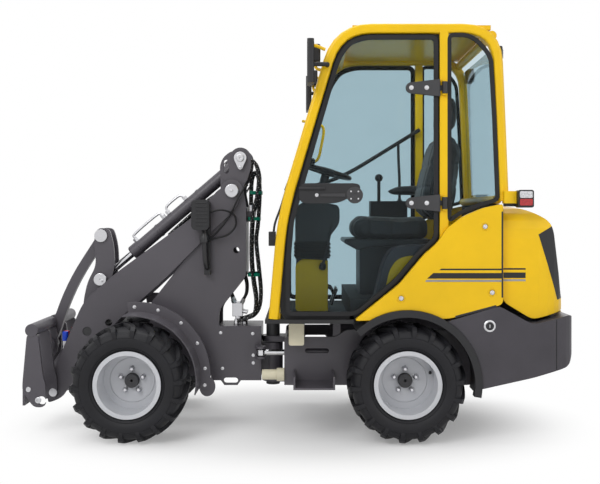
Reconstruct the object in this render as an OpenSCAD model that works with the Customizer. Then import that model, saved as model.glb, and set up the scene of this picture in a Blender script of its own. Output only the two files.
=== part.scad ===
// Compact articulated wheel loader with a glazed cab, a plate boom and a tool carrier.
// X points forward, Y to the left and Z up. The origin is on the ground at mid length.

/* [Stance] */
// Distance between the two axles
wheelbase = 1400; // [1300:10:1500]
// Front axle to the front face of the tool carrier
front_reach = 574; // [560:1:600]
// Rear axle to the back of the counterweight
rear_reach = 850; // [840:1:900]
// Front axle back to the steering pivot
pivot_setback = 710; // [690:5:730]
// Distance between the middle planes of the tyres
track = 815; // [795:5:860]

/* [Wheels] */
// Diameter over the tyre lugs
tyre_d = 600; // [570:5:620]
// Width of a tyre
tyre_w = 265; // [230:5:285]
// Diameter over the rim flanges
rim_d = 340; // [320:5:360]

/* [Cab] */
// Outer width of the cab
cab_w = 940; // [900:5:980]
// Length of the cab from the foot of the front pillar to the rear pillar
cab_l = 1230; // [1200:5:1260]
// Height of the cab floor above the ground
cab_base = 620; // [610:5:640]
// Height of the roof above the ground
roof_top = 2115; // [2050:5:2180]
// Width of a cab pillar seen from the side
pillar_w = 52; // [44:1:60]
// Depth of a cab pillar across the machine
pillar_deep = 56; // [48:1:64]
// Thickness of the window glass
glass_t = 6; // [4:1:8]

/* [Boom] */
// Height of the boom pivot above the ground
boom_pivot_z = 1279; // [1260:1:1300]
// Front axle back to the boom pivot
boom_pivot_back = 491; // [480:1:500]
// Level distance from the boom pivot to the carrier pivot
boom_run = 966; // [950:1:975]
// Drop from the boom pivot to the carrier pivot
boom_fall = 1091; // [1070:1:1110]
// Thickness of a boom plate
boom_t = 16; // [12:1:20]
// Clear width between the two boom plates
boom_gap = 252; // [248:1:270]

/* [Linkage] */
// Height of the rocker from its pivot to the link pin
rocker_rise = 518; // [500:1:530]
// Height of the carrier link pin over the carrier pivot
link_pin_rise = 242; // [230:1:250]
// Outer diameter of the tilt cylinder
tilt_d = 72; // [60:1:80]
// Outer diameter of a lift cylinder
lift_d = 70; // [60:1:76]
// Outer diameter of the steering cylinder
steer_d = 60; // [50:1:70]

/* [Tool carrier] */
// Width over the side plates of the tool carrier
carrier_w = 716; // [640:2:760]
// Height from the carrier pivot to the top tube
carrier_rise = 363; // [340:1:380]
// Diameter of the top tube
carrier_tube_d = 66; // [56:1:72]

/* [Body] */
// Width over the side panels
body_w = 1000; // [980:5:1040]
// Width of the engine hood
hood_w = 924; // [880:2:960]
// Length of the engine hood
hood_l = 333; // [320:1:345]
// Height of the engine hood
hood_h = 572; // [560:1:580]
// Wall of the engine hood
hood_wall = 14; // [8:1:20]
// Clear radius of the rear wheel arch
arch_r = 372; // [364:1:380]

/* [Hidden] */
$fn = 48;

// Overrun of every cut
over = 2;
// Running clearance of pins in their bores
fit = 0.3;
// Clearance between pieces that meet but turn or slide
gap = 6;
// Steps in a softened corner
corner_steps = 6;
// Radius over which round pieces get more sides, and how many
fine_r = 100;
fine_sides = 144;
// Largest part of an edge that a softened corner may use
corner_reach_share = 0.48;

// Places of the axles and of the steering pivot
overall_len = wheelbase + front_reach + rear_reach;
front_x = overall_len / 2 - front_reach;
rear_x = front_x - wheelbase;
pivot_x = front_x - pivot_setback;
axle_z = tyre_d / 2;

// Points of a table of shares, laid out from a corner over a run and a rise
function laid(corner, run, rise, shares) =
    [for (s = shares) [corner[0] + s[0] * run, corner[1] + s[1] * rise]];
function unit(v) = v / norm(v);
// A point along the curve that bridges a corner
function bridge(a, p, b, t) = (1 - t) * (1 - t) * a + 2 * t * (1 - t) * p + t * t * b;
// Curve that replaces the corner p between its neighbours a and b
function corner_curve(a, p, b, cut) =
    let (
        ca = min(cut, norm(a - p) * corner_reach_share),
        cb = min(cut, norm(b - p) * corner_reach_share),
        start = p + unit(a - p) * ca,
        end = p + unit(b - p) * cb
    )
    [for (i = [0:corner_steps]) bridge(start, p, end, i / corner_steps)];
// Closed outline with its corners softened
function soft_ring(pts, cut) =
    let (n = len(pts))
    [for (i = [0:n - 1]) each corner_curve(pts[(i + n - 1) % n], pts[i], pts[(i + 1) % n], cut)];
// Open path with its inner corners softened
function soft_path(pts, cut) =
    let (n = len(pts))
    [
        pts[0],
        for (i = [1:n - 2]) each corner_curve(pts[i - 1], pts[i], pts[i + 1], cut),
        pts[n - 1]
    ];
// Direction of a path at one of its points
function heading(path, i) =
    unit(path[min(i + 1, len(path) - 1)] - path[max(i - 1, 0)]);
// Outline of a band of a given width along a flat path
function band(path, w) =
    let (n = len(path), side = [for (i = [0:n - 1]) let (h = heading(path, i)) [-h[1], h[0]] * w / 2])
    concat([for (i = [0:n - 1]) path[i] + side[i]], [for (i = [n - 1:-1:0]) path[i] - side[i]]);
// A flat path in the XZ plane set at a place across the machine
function set_across(path, y) = [for (p = path) [p[0], y, p[1]]];
// Round section with a number of sides
function round_section(r, sides) =
    [for (i = [0:sides - 1]) [r * cos(360 * i / sides), r * sin(360 * i / sides)]];
// Section of a rounded box tube, w in the plane of its path and d across the machine
tube_power_share = 0.55;
tube_sides = 16;
function swell(v) = sign(v) * pow(abs(v), tube_power_share);
function tube_section(w, d) =
    [for (i = [0:tube_sides - 1])
        let (a = 360 * (i + 1 / 2) / tube_sides) [swell(cos(a)) * w / 2, swell(sin(a)) * d / 2]];

// A section carried along a path that lies mostly in the XZ plane
module sweep(path, section) {
    across = [0, 1, 0];
    rings = len(path);
    sides = len(section);
    points = [
        for (i = [0:rings - 1])
            let (side = unit(cross(across, heading(path, i))))
            for (s = section) path[i] + side * s[0] + across * s[1]
    ];
    walls = [
        for (i = [0:rings - 2], k = [0:sides - 1])
            let (a = i * sides + k, b = i * sides + (k + 1) % sides)
            each [[a, a + sides, b], [b, a + sides, b + sides]]
    ];
    low_end = [for (k = [0:sides - 1]) k];
    high_end = [for (k = [sides - 1:-1:0]) (rings - 1) * sides + k];
    polyhedron(points = points, faces = concat(walls, [low_end, high_end]));
}
// An outline in the XZ plane made into a plate between two places across the machine
module slab(outline, y_low, y_high) {
    translate([0, y_high, 0])
        rotate([90, 0, 0])
            linear_extrude(y_high - y_low) polygon(outline);
}
// An outline in the XY plane made into a layer between two heights
module layer(outline, z_low, z_high) {
    translate([0, 0, z_low]) linear_extrude(z_high - z_low) polygon(outline);
}
// Round bar across the machine at a point of the XZ plane
module bar_across(at, r, y_low, y_high) {
    translate([at[0], y_low, at[1]])
        rotate([-90, 0, 0])
            cylinder(r = r, h = y_high - y_low, $fn = r > fine_r ? fine_sides : $fn);
}
// Round bar between two points
module bar_between(a, b, r) {
    d = b - a;
    translate(a)
        rotate([0, acos(d[2] / norm(d)), atan2(d[1], d[0])])
            cylinder(r = r, h = norm(d));
}
// Box between two corners
module block(low, high) {
    translate(low) cube(high - low);
}
module both_sides() {
    children();
    mirror([0, 1, 0]) children();
}

// Wheels
wheel_r = tyre_d / 2;
flange_r = rim_d / 2;
flange_lip = 14;
flange_t = 8;
barrel_t = 8;
bead_r = flange_r - flange_lip;
// Half section of the tyre: height over the bead, then half width
tyre_section_shares = [
    [0, 0.74], [0.1, 0.79], [0.2, 0.92], [0.5, 1], [0.72, 0.98], [0.88, 0.93], [0.97, 0.8], [1, 0.55]
];
rim_w_share = 0.82;
flange_y = tyre_w * rim_w_share / 2;
// Wheel disc: how far it lies inside the outer flange, and its opening
disc_inset = 144;
disc_r = 116;
disc_t = 10;
disc_y = flange_y - disc_inset;
hub_r = 74;
hub_deep = 54;
hub_cap_r = 34;
hub_cap_out = 34;
stud_circle_r = 56;
stud_r = 9;
stud_out = 22;
stud_count = 5;
spindle_r = 26;
spindle_in = 40;

module tyre_ring(crown_r) {
    rise = crown_r - bead_r - fit;
    outer = [for (s = tyre_section_shares) [bead_r + fit + s[0] * rise, s[1] * tyre_w / 2]];
    inner = [for (i = [len(outer) - 1:-1:0]) [outer[i][0], -outer[i][1]]];
    rotate([-90, 0, 0]) rotate_extrude($fn = 96) polygon(concat(outer, inner));
}
// Tread lugs, staggered left and right
lug_count = 18;
lug_h = 20;
lug_reach = 70;
// Lug outline: place along the tread in pitches, then across it in half widths
lug_shares = [
    [0.42, -0.06], [0.12, -0.06], [-0.3, 0.5], [-0.42, 0.82], [-0.42, 1.05], [-0.22, 1.05], [-0.2, 0.86],
    [-0.04, 0.58]
];
module tyre(axle_x, side) {
    pitch = 360 / lug_count;
    pitch_l = 2 * wheel_r * tan(pitch / 2);
    lug = [for (s = lug_shares) [s[0] * pitch_l, s[1] * tyre_w / 2]];
    color([0.16, 0.15, 0.16])
        translate([axle_x, side * track / 2, axle_z]) {
            tyre_ring(wheel_r - lug_h);
            intersection() {
                tyre_ring(wheel_r);
                for (i = [0:lug_count - 1], half = [0, 1])
                    rotate([0, (i + half / 2) * pitch, 0])
                        mirror([0, half, 0])
                            translate([0, 0, wheel_r - lug_reach])
                                linear_extrude(lug_reach + over) polygon(lug);
            }
        }
}
module ring_across(r_in, r_out, y_low, y_high) {
    difference() {
        bar_across([0, 0], r_out, y_low, y_high);
        bar_across([0, 0], r_in, y_low - over, y_high + over);
    }
}
// A wheel rim with its outer side towards +Y
module rim_form() {
    barrel_in = bead_r - barrel_t;
    ring_across(barrel_in, bead_r, -flange_y - flange_t, flange_y + flange_t);
    for (y = [-flange_y - flange_t, flange_y])
        ring_across(barrel_in, flange_r, y, y + flange_t);
    ring_across(disc_r, bead_r - over, disc_y - disc_t, disc_y + disc_t);
    difference() {
        union() {
            bar_across([0, 0], disc_r + over, disc_y - disc_t, disc_y);
            bar_across([0, 0], hub_r, disc_y - hub_deep, disc_y);
            bar_across([0, 0], hub_cap_r, disc_y - disc_t, disc_y + hub_cap_out);
        }
        bar_across([0, 0], spindle_r + fit, disc_y - hub_deep - over, disc_y - hub_deep + spindle_in);
    }
    for (i = [0:stud_count - 1])
        rotate([0, 360 * i / stud_count, 0])
            bar_across([0, stud_circle_r], stud_r, disc_y - disc_t, disc_y + stud_out);
}
module rim(axle_x, side) {
    color("silver")
        translate([axle_x, side * track / 2, axle_z])
            mirror([0, side < 0 ? 1 : 0, 0]) rim_form();
}

// Axles
axle_tube_r = 52;
axle_case_r = 90;
axle_end_y = track / 2 + disc_y - hub_deep - fit;
axle_case_w = 150;
axle_cone_r = 80;
axle_cone_w = 24;
axle_flange_r = 70;
axle_flange_t = 16;
module axle(x) {
    translate([x, 0, axle_z]) {
        bar_across([0, 0], axle_tube_r, -axle_end_y, axle_end_y);
        bar_across([0, 0], axle_case_r, -axle_case_w / 2, axle_case_w / 2);
        both_sides() {
            translate([0, axle_case_w / 2 - over, 0])
                rotate([-90, 0, 0]) cylinder(r1 = axle_cone_r, r2 = axle_tube_r, h = axle_cone_w);
            bar_across([0, 0], axle_flange_r, axle_end_y - gap - axle_flange_t, axle_end_y - gap);
        }
        bar_across([0, 0], spindle_r, -axle_end_y - spindle_in + over, axle_end_y + spindle_in - over);
    }
}

// Ring sector about an axis across the machine, from angle a_low to a_high above +X
module arc_ring(r_in, r_out, y_low, y_high, a_low, a_high) {
    rotate([90, 0, 0])
        rotate([0, 0, a_low])
            rotate_extrude(angle = a_high - a_low, $fn = fine_sides)
                translate([r_in, -y_high])
                    square([r_out - r_in, y_high - y_low]);
}

// Front frame: two tower plates that run down to the axle, with a neck back to the steering pivot
tower_gap = 210;
tower_t = 15;
tower_in = tower_gap / 2;
tower_out = tower_in + tower_t;
tilt_pin_back = 45;
tilt_pin_up = 179;
boom_pivot = [front_x - boom_pivot_back, boom_pivot_z];
tilt_pin = boom_pivot + [-tilt_pin_back, tilt_pin_up];
tower_back = front_x - tilt_pin[0];
tower_rise = tilt_pin[1] - axle_z;
tower_head_r = 58;
// Tower plate: way back from the axle, then height over it, as shares of the tilt pin's place
tower_shares = [
    [1.097, 0.968], [1.026, 0.85], [1.058, 0.779], [1.058, 0.444], [0.782, 0.283], [0.782, -0.026],
    [-0.205, -0.026], [-0.205, 0.147], [0.078, 0.208], [0.078, 0.312], [0.231, 0.402],
    [0.69, 0.674], [0.797, 0.777], [0.797, 0.95], [0.868, 0.997]
];
tower_soft = 30;
tower_slot_shares = [[0.858, 0.965], [0.858, 0.925]];
tower_slot_w = 28;
tower_hole_share = [0.957, 0.566];
tower_hole_r = 17;
boom_pin_r = 30;
tilt_pin_r = 25;
neck_ahead = 60;
neck_x = pivot_x + neck_ahead;
neck_low = 270;
neck_high = 541;
neck_lip = 25;
// Tie-down eye in the lower edge of each side plate
tie_back = 484;
tie_deep = 26;
tie_half = 36;
tie_slope = 20;
tie_slot_half = 24;
tie_slot_w = 30;
neck_end_share = 0.7;
frame_t = 15;
hub_low = 262;
hub_high = 440;
pivot_hub_r = 55;
pivot_r = 25;
web_half = 50;
lift_base_back = 380;
lift_base_z = 470;
lift_base = [front_x - lift_base_back, lift_base_z];
lift_pin_r = 20;
steer_front_y = 195;
steer_z = 411;
steer_pin_r = 14;
clevis_t = 12;
clevis_room = 42;
clevis_half = 30;
rear_wall_share = 1.058;
rear_wall_low_share = 0.45;
rear_wall_high_share = 0.77;
nose_share = 0.205;
nose_rise_share = 0.14;
manifold_deep = 42;
manifold_half = 60;
manifold_low_share = 0.7;
manifold_high_share = 0.75;
module tower_cut(places, w) {
    for (p = places) bar_across(p, w / 2, tower_in - over, tower_out + over);
    slab(band(places, w), tower_in - over, tower_out + over);
}
module tower_plate() {
    slot = laid([front_x, axle_z], -tower_back, tower_rise, tower_slot_shares);
    hole = laid([front_x, axle_z], -tower_back, tower_rise, [tower_hole_share])[0];
    tie = [front_x - tie_back, neck_low - neck_lip];
    top_half = tie_half + tie_slope;
    neck_end = front_x - tower_back * neck_end_share;
    difference() {
        union() {
            slab(soft_ring(laid([front_x, axle_z], -tower_back, tower_rise, tower_shares), tower_soft),
                 tower_in, tower_out);
            bar_across(tilt_pin, tower_head_r, tower_in, tower_out);
            block([neck_x, tower_in, tie[1]], [neck_end, tower_out, neck_high]);
            slab([tie + [-top_half, over], tie + [top_half, over], tie + [tie_half, -tie_deep],
                  tie - [tie_half, tie_deep]], tower_in, tower_out);
        }
        bar_across(boom_pivot, boom_pin_r + fit, tower_in - over, tower_out + over);
        bar_across([front_x, axle_z], axle_tube_r + fit, tower_in - over, tower_out + over);
        bar_across(hole, tower_hole_r, tower_in - over, tower_out + over);
        tower_cut(slot, tower_slot_w);
        tower_cut([tie - [tie_slot_half, 0], tie + [tie_slot_half, 0]], tie_slot_w);
    }
}
module front_frame() {
    wall_x = front_x - tower_back * rear_wall_share;
    nose = front_x + tower_back * nose_share;
    color([0.3, 0.28, 0.31]) {
        both_sides() tower_plate();
        bar_across(tilt_pin, tilt_pin_r, -tower_out - frame_t, tower_out + frame_t);
        bar_across(lift_base, lift_pin_r, -tower_out, tower_out);
        // Rear wall of the tower with the hose manifold
        block([wall_x, -tower_in, axle_z + tower_rise * rear_wall_low_share],
              [wall_x + frame_t, tower_in, axle_z + tower_rise * rear_wall_high_share]);
        block([wall_x - manifold_deep, -manifold_half, axle_z + tower_rise * manifold_low_share],
              [wall_x, manifold_half, axle_z + tower_rise * manifold_high_share]);
        // Belly and deck of the neck
        block([neck_x, -tower_in, neck_low], [front_x - axle_case_r - gap, tower_in, neck_low + frame_t]);
        block([neck_x, -tower_in, neck_high - frame_t], [lift_base[0] - lift_d / 2, tower_in, neck_high]);
        // End plate, hub and web of the steering pivot
        block([neck_x, -tower_out, neck_low], [neck_x + frame_t, tower_out, neck_high]);
        difference() {
            union() {
                translate([pivot_x, 0, hub_low]) cylinder(r = pivot_hub_r, h = hub_high - hub_low);
                block([pivot_x, -web_half, neck_low], [neck_x, web_half, hub_high]);
            }
            translate([pivot_x, 0, hub_low - over])
                cylinder(r = pivot_r + fit, h = hub_high - hub_low + 2 * over);
        }
        // Clevis of the steering cylinder
        for (z = [steer_z - clevis_room / 2 - clevis_t, steer_z + clevis_room / 2])
            difference() {
                union() {
                    block([neck_x, tower_out - over, z],
                          [neck_x + clevis_half, steer_front_y, z + clevis_t]);
                    translate([neck_x, steer_front_y, z]) cylinder(r = clevis_half, h = clevis_t);
                }
                translate([neck_x, steer_front_y, z - over])
                    cylinder(r = steer_pin_r, h = clevis_t + 2 * over);
            }
        // Cross wall ahead of the axle
        block([nose - frame_t, -tower_in, neck_low],
              [nose, tower_in, axle_z + tower_rise * nose_rise_share]);
    }
}
module front_axle() {
    color([0.25, 0.24, 0.25]) axle(front_x);
}

// Front mudguards
guard_clear = 30;
guard_r = wheel_r + guard_clear;
guard_t = 6;
guard_flange = 58;
guard_y = 256;
guard_flange_t = 12;
guard_out = 170;
guard_low_angle = 82;
guard_high_angle = 192;
guard_strut = 40;
module mudguards() {
    color([0.27, 0.26, 0.28])
        both_sides()
            translate([front_x, 0, axle_z]) {
                arc_ring(guard_r, guard_r + guard_flange, guard_y, guard_y + guard_flange_t,
                         guard_low_angle, guard_high_angle);
                arc_ring(guard_r, guard_r + guard_t, guard_y, guard_y + guard_out,
                         guard_low_angle, guard_high_angle);
                block([-guard_r - guard_strut, tower_out, guard_strut],
                      [-guard_r, guard_y + over, 2 * guard_strut]);
            }
}

// Work lamps on the tower, outside the boom plates
boom_in = boom_gap / 2;
boom_out = boom_in + boom_t;
lamp_setback = 377;
lamp_w = 92;
lamp_low = 1067;
lamp_h = 162;
lamp_deep = 80;
lamp_y = boom_out + 2 * gap;
lamp_arm_low = 825;
lamp_arm_t = 10;
lamp_arm_w = 34;
lamp_soft = 26;
module tower_lamps() {
    x = front_x - lamp_setback;
    outline = [[x, lamp_low], [x + lamp_w, lamp_low], [x + lamp_w, lamp_low + lamp_h],
               [x, lamp_low + lamp_h]];
    color([0.13, 0.13, 0.14])
        both_sides() {
            slab(soft_ring(outline, lamp_soft), lamp_y + lamp_arm_t, lamp_y + lamp_arm_t + lamp_deep);
            block([x, lamp_y, lamp_arm_low], [x + lamp_arm_w, lamp_y + lamp_arm_t, lamp_low + lamp_h / 2]);
            block([x, tower_out, lamp_arm_low],
                  [x + lamp_arm_w, lamp_y + lamp_arm_t, lamp_arm_low + lamp_arm_t]);
        }
}

// Hydraulic hoses behind the tower, from the manifold over a loop and down to the neck deck
hose_r = 10;
hose_sides = 10;
hose_soft = 90;
hose_places = [-36, 0, 36];
hose_start_back_share = 1.095;
hose_start_share = 0.75;
// Route over the loop: way back from the axle, then height over it, as shares of the tilt pin's place
hose_shares = [
    [1.095, 0.94], [1.185, 0.94], [1.19, 0.78], [1.13, 0.6], [1.2, 0.34], [1.15, 0.245], [1.03, 0.245]
];
module tower_hoses() {
    start = [front_x - tower_back * hose_start_back_share, axle_z + tower_rise * hose_start_share + fit];
    loop = laid([front_x, axle_z], -tower_back, tower_rise, hose_shares);
    end = [loop[len(loop) - 1][0], neck_high + fit];
    path = soft_path(concat([start], loop, [end]), hose_soft);
    color([0.1, 0.1, 0.11])
        for (y = hose_places) sweep(set_across(path, y), round_section(hose_r, hose_sides));
}

// Boom: two plates with cross tubes, the pivot pin and the cylinder bosses
carrier_pivot = boom_pivot + [boom_run, -boom_fall];
rocker_ahead_share = 0.814;
rocker_drop_share = 0.7;
rocker_pivot = boom_pivot + [boom_run * rocker_ahead_share, -boom_fall * rocker_drop_share];
// Boom plate: way ahead of the pivot, then drop below it
boom_shares = [
    [0.047, -0.034], [0.215, 0.128], [0.648, 0.406], [0.703, 0.448], [0.832, 0.547], [0.884, 0.65],
    [0.961, 0.81], [1.03, 0.959], [1.038, 1.05], [1.02, 1.053], [0.957, 1.03], [0.931, 0.996],
    [0.848, 0.902], [0.735, 0.742], [0.618, 0.623], [0.498, 0.535], [0.344, 0.409], [0.132, 0.22],
    [-0.007, 0.105], [-0.055, 0.03]
];
boom_soft = 60;
boom_head_r = 62;
boom_pin_head_r = 36;
boom_pin_out = 14;
rocker_pin_r = 24;
carrier_pin_r = 22;
cross_tube_shares = [[0.55, 0.52], [0.693, 0.657], [0.9, 0.83]];
cross_tube_r = 24;
tube_hole_r = 19;
lift_arm = 340;
lift_arm_angle = -45;
lift_eye = boom_pivot + lift_arm * [cos(lift_arm_angle), sin(lift_arm_angle)];
lift_boss_r = 32;
lift_boss_in = 36;
module boom() {
    tubes = laid(boom_pivot, boom_run, -boom_fall, cross_tube_shares);
    color([0.3, 0.28, 0.31]) {
        both_sides() {
            difference() {
                union() {
                    slab(soft_ring(laid(boom_pivot, boom_run, -boom_fall, boom_shares), boom_soft),
                         boom_in, boom_out);
                    bar_across(boom_pivot, boom_head_r, boom_in, boom_out);
                }
                bar_across(rocker_pivot, rocker_pin_r + fit, boom_in - over, boom_out + over);
                bar_across(carrier_pivot, carrier_pin_r + fit, boom_in - over, boom_out + over);
                bar_across(tubes[1], tube_hole_r, boom_in - over, boom_out + over);
            }
            bar_across(lift_eye, lift_boss_r, boom_in - lift_boss_in, boom_in);
            bar_across(boom_pivot, boom_pin_head_r, boom_out, boom_out + boom_pin_out);
        }
        bar_across(boom_pivot, boom_pin_r, -boom_out, boom_out);
        difference() {
            for (p = tubes) bar_across(p, cross_tube_r, -boom_in, boom_in);
            bar_across(tubes[1], tube_hole_r, -boom_out, boom_out);
        }
    }
}

// Hydraulic couplers on a bracket between the boom plates
coupler_share = [0.9, 0.83];
coupler_r = 12;
coupler_h = 90;
coupler_places = [78, 104];
coupler_ahead = 46;
bracket_t = 10;
module couplers() {
    foot = boom_pivot + [boom_run * coupler_share[0], -boom_fall * coupler_share[1]];
    color([0.55, 0.55, 0.58])
        both_sides() {
            y_low = min(coupler_places) - coupler_r;
            block([foot[0] + cross_tube_r + fit, y_low, foot[1] - bracket_t],
                  [foot[0] + coupler_ahead + coupler_r, boom_in - gap, foot[1] + bracket_t]);
            for (y = coupler_places)
                translate([foot[0] + coupler_ahead, y, foot[1]]) cylinder(r = coupler_r, h = coupler_h);
        }
}

// Tilt rocker on the boom
rocker_lean = 56;
tilt_eye_rise = 276;
tilt_eye_lean = 54;
link_top = rocker_pivot + [-rocker_lean, rocker_rise];
tilt_eye = rocker_pivot + [-tilt_eye_lean, tilt_eye_rise];
rocker_in = 44;
rocker_t = 16;
rocker_out = rocker_in + rocker_t;
rocker_soft = 40;
rocker_hub_r = 40;
link_pin_r = 18;
pin_head_r = 35;
pin_head_t = 12;
rocker_shares = [
    [-0.208, 1.04], [-0.245, 0.88], [-0.255, 0.64], [-0.145, 0.386], [-0.1, 0.116], [-0.087, -0.02],
    [-0.05, -0.09], [0.05, -0.09], [0.093, -0.01], [0.079, 0.315], [0.037, 0.508], [-0.048, 0.666],
    [-0.05, 0.784], [-0.03, 0.944], [-0.06, 1.08], [-0.174, 1.08]
];
module rocker_pin() {
    y = boom_out - gap / 2;
    color("silver") bar_across(rocker_pivot, rocker_pin_r, -y, y);
}
module rocker() {
    color([0.3, 0.28, 0.31])
        difference() {
            union() {
                both_sides() {
                    slab(soft_ring(laid(rocker_pivot, rocker_rise, rocker_rise, rocker_shares),
                                   rocker_soft), rocker_in, rocker_out);
                    bar_across(tilt_eye, pin_head_r, rocker_out, rocker_out + pin_head_t);
                }
                bar_across(rocker_pivot, rocker_hub_r, -boom_in + gap, boom_in - gap);
            }
            bar_across(rocker_pivot, rocker_pin_r + fit, -boom_in, boom_in);
            bar_across(link_top, link_pin_r + fit, -boom_in, boom_in);
        }
}
module link_pin() {
    color("silver") {
        bar_across(link_top, link_pin_r, -rocker_out - fit, rocker_out + fit);
        for (y = [-rocker_out - fit - pin_head_t, rocker_out + fit])
            bar_across(link_top, pin_head_r, y, y + pin_head_t);
    }
}
// Link from the rocker to the tool carrier
link_pin_ahead = 55;
link_foot = carrier_pivot + [link_pin_ahead, link_pin_rise];
link_w = 52;
link_half = 20;
link_eye_r = 40;
link_bow = 42;
link_soft = 200;
module link() {
    middle = (link_top + link_foot) / 2;
    across = unit([link_top[1] - link_foot[1], link_foot[0] - link_top[0]]);
    path = soft_path([link_top, middle + across * link_bow, link_foot], link_soft);
    color([0.3, 0.28, 0.31])
        difference() {
            union() {
                slab(band(path, link_w), -link_half, link_half);
                bar_across(link_top, link_eye_r, -link_half, link_half);
                bar_across(link_foot, link_eye_r, -link_half, link_half);
            }
            bar_across(link_top, link_pin_r + fit, -boom_in, boom_in);
            bar_across(link_foot, link_pin_r, -boom_in, boom_in);
        }
}

// Tool carrier
carrier_ahead = front_x + front_reach - carrier_pivot[0];
carrier_t = 16;
carrier_side_in = carrier_w / 2 - carrier_t;
ear_in = link_half + gap + over;
carrier_ear_t = 16;
pivot_plate_in = boom_out + gap;
// Side plate: way ahead of the pivot, then height over it
carrier_shares = [
    [0.77, 0.95], [1, 0.25], [1, 0.13], [0.41, -0.096], [-0.1, -0.096], [-0.22, -0.03], [-0.2, 0.234],
    [-0.07, 0.339], [0.2, 0.95]
];
carrier_ear_shares = [
    [0.2, 0.95], [0.9, 0.95], [0.98, 0.1], [0.88, 0.1], [0.88, 0.22], [0.8, 0.27], [0.1, 0.56], [0.1, 0.8]
];
carrier_soft = 24;
top_tube_share = 0.525;
top_tube = carrier_pivot + [carrier_ahead * top_tube_share, carrier_rise];
lock_shares = [0.7, 0.155];
lock_r = 15;
foot_bar_shares = [[0.87, -0.07], [0.99, -0.07], [0.99, 0.15], [0.87, 0.15]];
module carrier_pin() {
    y = pivot_plate_in + carrier_t;
    color("silver") bar_across(carrier_pivot, carrier_pin_r, -y, y);
}
module carrier() {
    side = soft_ring(laid(carrier_pivot, carrier_ahead, carrier_rise, carrier_shares), carrier_soft);
    ear = soft_ring(laid(carrier_pivot, carrier_ahead, carrier_rise, carrier_ear_shares), carrier_soft);
    lock = carrier_pivot + [carrier_ahead * lock_shares[0], carrier_rise * lock_shares[1]];
    color([0.3, 0.28, 0.31])
        difference() {
            union() {
                both_sides() {
                    slab(side, carrier_side_in, carrier_w / 2);
                    slab(side, pivot_plate_in, pivot_plate_in + carrier_t);
                    slab(ear, ear_in, ear_in + carrier_ear_t);
                    bar_across(top_tube, carrier_tube_d / 2, ear_in, carrier_w / 2 + over);
                    bar_across(link_foot, pin_head_r, ear_in + carrier_ear_t,
                               ear_in + carrier_ear_t + pin_head_t);
                }
                slab(laid(carrier_pivot, carrier_ahead, carrier_rise, foot_bar_shares),
                     -carrier_w / 2, carrier_w / 2);
            }
            bar_across(carrier_pivot, carrier_pin_r + fit, -carrier_w, carrier_w);
            bar_across(lock, lock_r, -carrier_w, carrier_w);
        }
}

// Hydraulic cylinders: a bored barrel with an eye, and a rod with an eye
eye_wall = 15;
// Cylinder barrel from a pin towards an aim, in the XZ plane
module barrel(pin, aim, pin_r, r, rod_r, from, to, y, half) {
    way = unit(aim - pin);
    a = [pin[0], y, pin[1]];
    d = [way[0], 0, way[1]];
    difference() {
        union() {
            bar_across(pin, pin_r + eye_wall, y - half, y + half);
            bar_between(a + d * pin_r, a + d * to, r);
        }
        bar_across(pin, pin_r + fit, y - r - half, y + r + half);
        bar_between(a + d * from, a + d * (to + over), rod_r + fit);
    }
}
module rod(pin, aim, eye_r, rod_r, from, y, half) {
    way = unit(aim - pin);
    a = [pin[0], y, pin[1]];
    d = [way[0], 0, way[1]];
    bar_between(a + d * from, [aim[0], y, aim[1]] - d * eye_r / 2, rod_r);
    difference() {
        bar_across(aim, eye_r, y - half, y + half);
        bar_across(aim, rod_r, y - half - over, y + half + over);
    }
}
tilt_rod_r = 19;
tilt_len = norm(tilt_eye - tilt_pin);
tilt_barrel_end_share = 0.785;
tilt_bore_share = 0.12;
tilt_rod_start_share = 0.36;
tilt_eye_half = 30;
tilt_eye_r = 31;
module tilt_barrel() {
    color([0.28, 0.27, 0.29])
        barrel(tilt_pin, tilt_eye, tilt_pin_r, tilt_d / 2, tilt_rod_r, tilt_len * tilt_bore_share,
               tilt_len * tilt_barrel_end_share, 0, tilt_eye_half);
}
module tilt_rod() {
    color("gainsboro")
        rod(tilt_pin, tilt_eye, tilt_eye_r, tilt_rod_r, tilt_len * tilt_rod_start_share, 0, tilt_eye_half);
}
lift_rod_r = 18;
lift_y = 55;
lift_half = 19;
lift_len = norm(lift_eye - lift_base);
lift_bore_share = 0.075;
lift_rod_start_share = 0.1;
lift_barrel_end_share = 0.92;
module lift_barrels() {
    color([0.28, 0.27, 0.29])
        both_sides()
            barrel(lift_base, lift_eye, lift_pin_r, lift_d / 2, lift_rod_r, lift_len * lift_bore_share,
                   lift_len * lift_barrel_end_share, lift_y, lift_half);
}
module lift_rods() {
    color("gainsboro")
        both_sides()
            rod(lift_base, lift_eye, lift_pin_r + eye_wall, lift_rod_r, lift_len * lift_rod_start_share,
                lift_y, lift_half);
}

// Rear frame: two side plates, cross plates, the pivot ears and the cab supports
rear_frame_w = 500;
rear_plate_t = 12;
frame_out = rear_frame_w / 2;
frame_in = frame_out - rear_plate_t;
rear_frame_setback = 68;
rear_frame_tail = 740;
rear_frame_low = 246;
rear_frame_h = 294;
rear_frame_x = pivot_x - rear_frame_setback;
rear_frame_l = rear_frame_x - (rear_x - rear_frame_tail);
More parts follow.
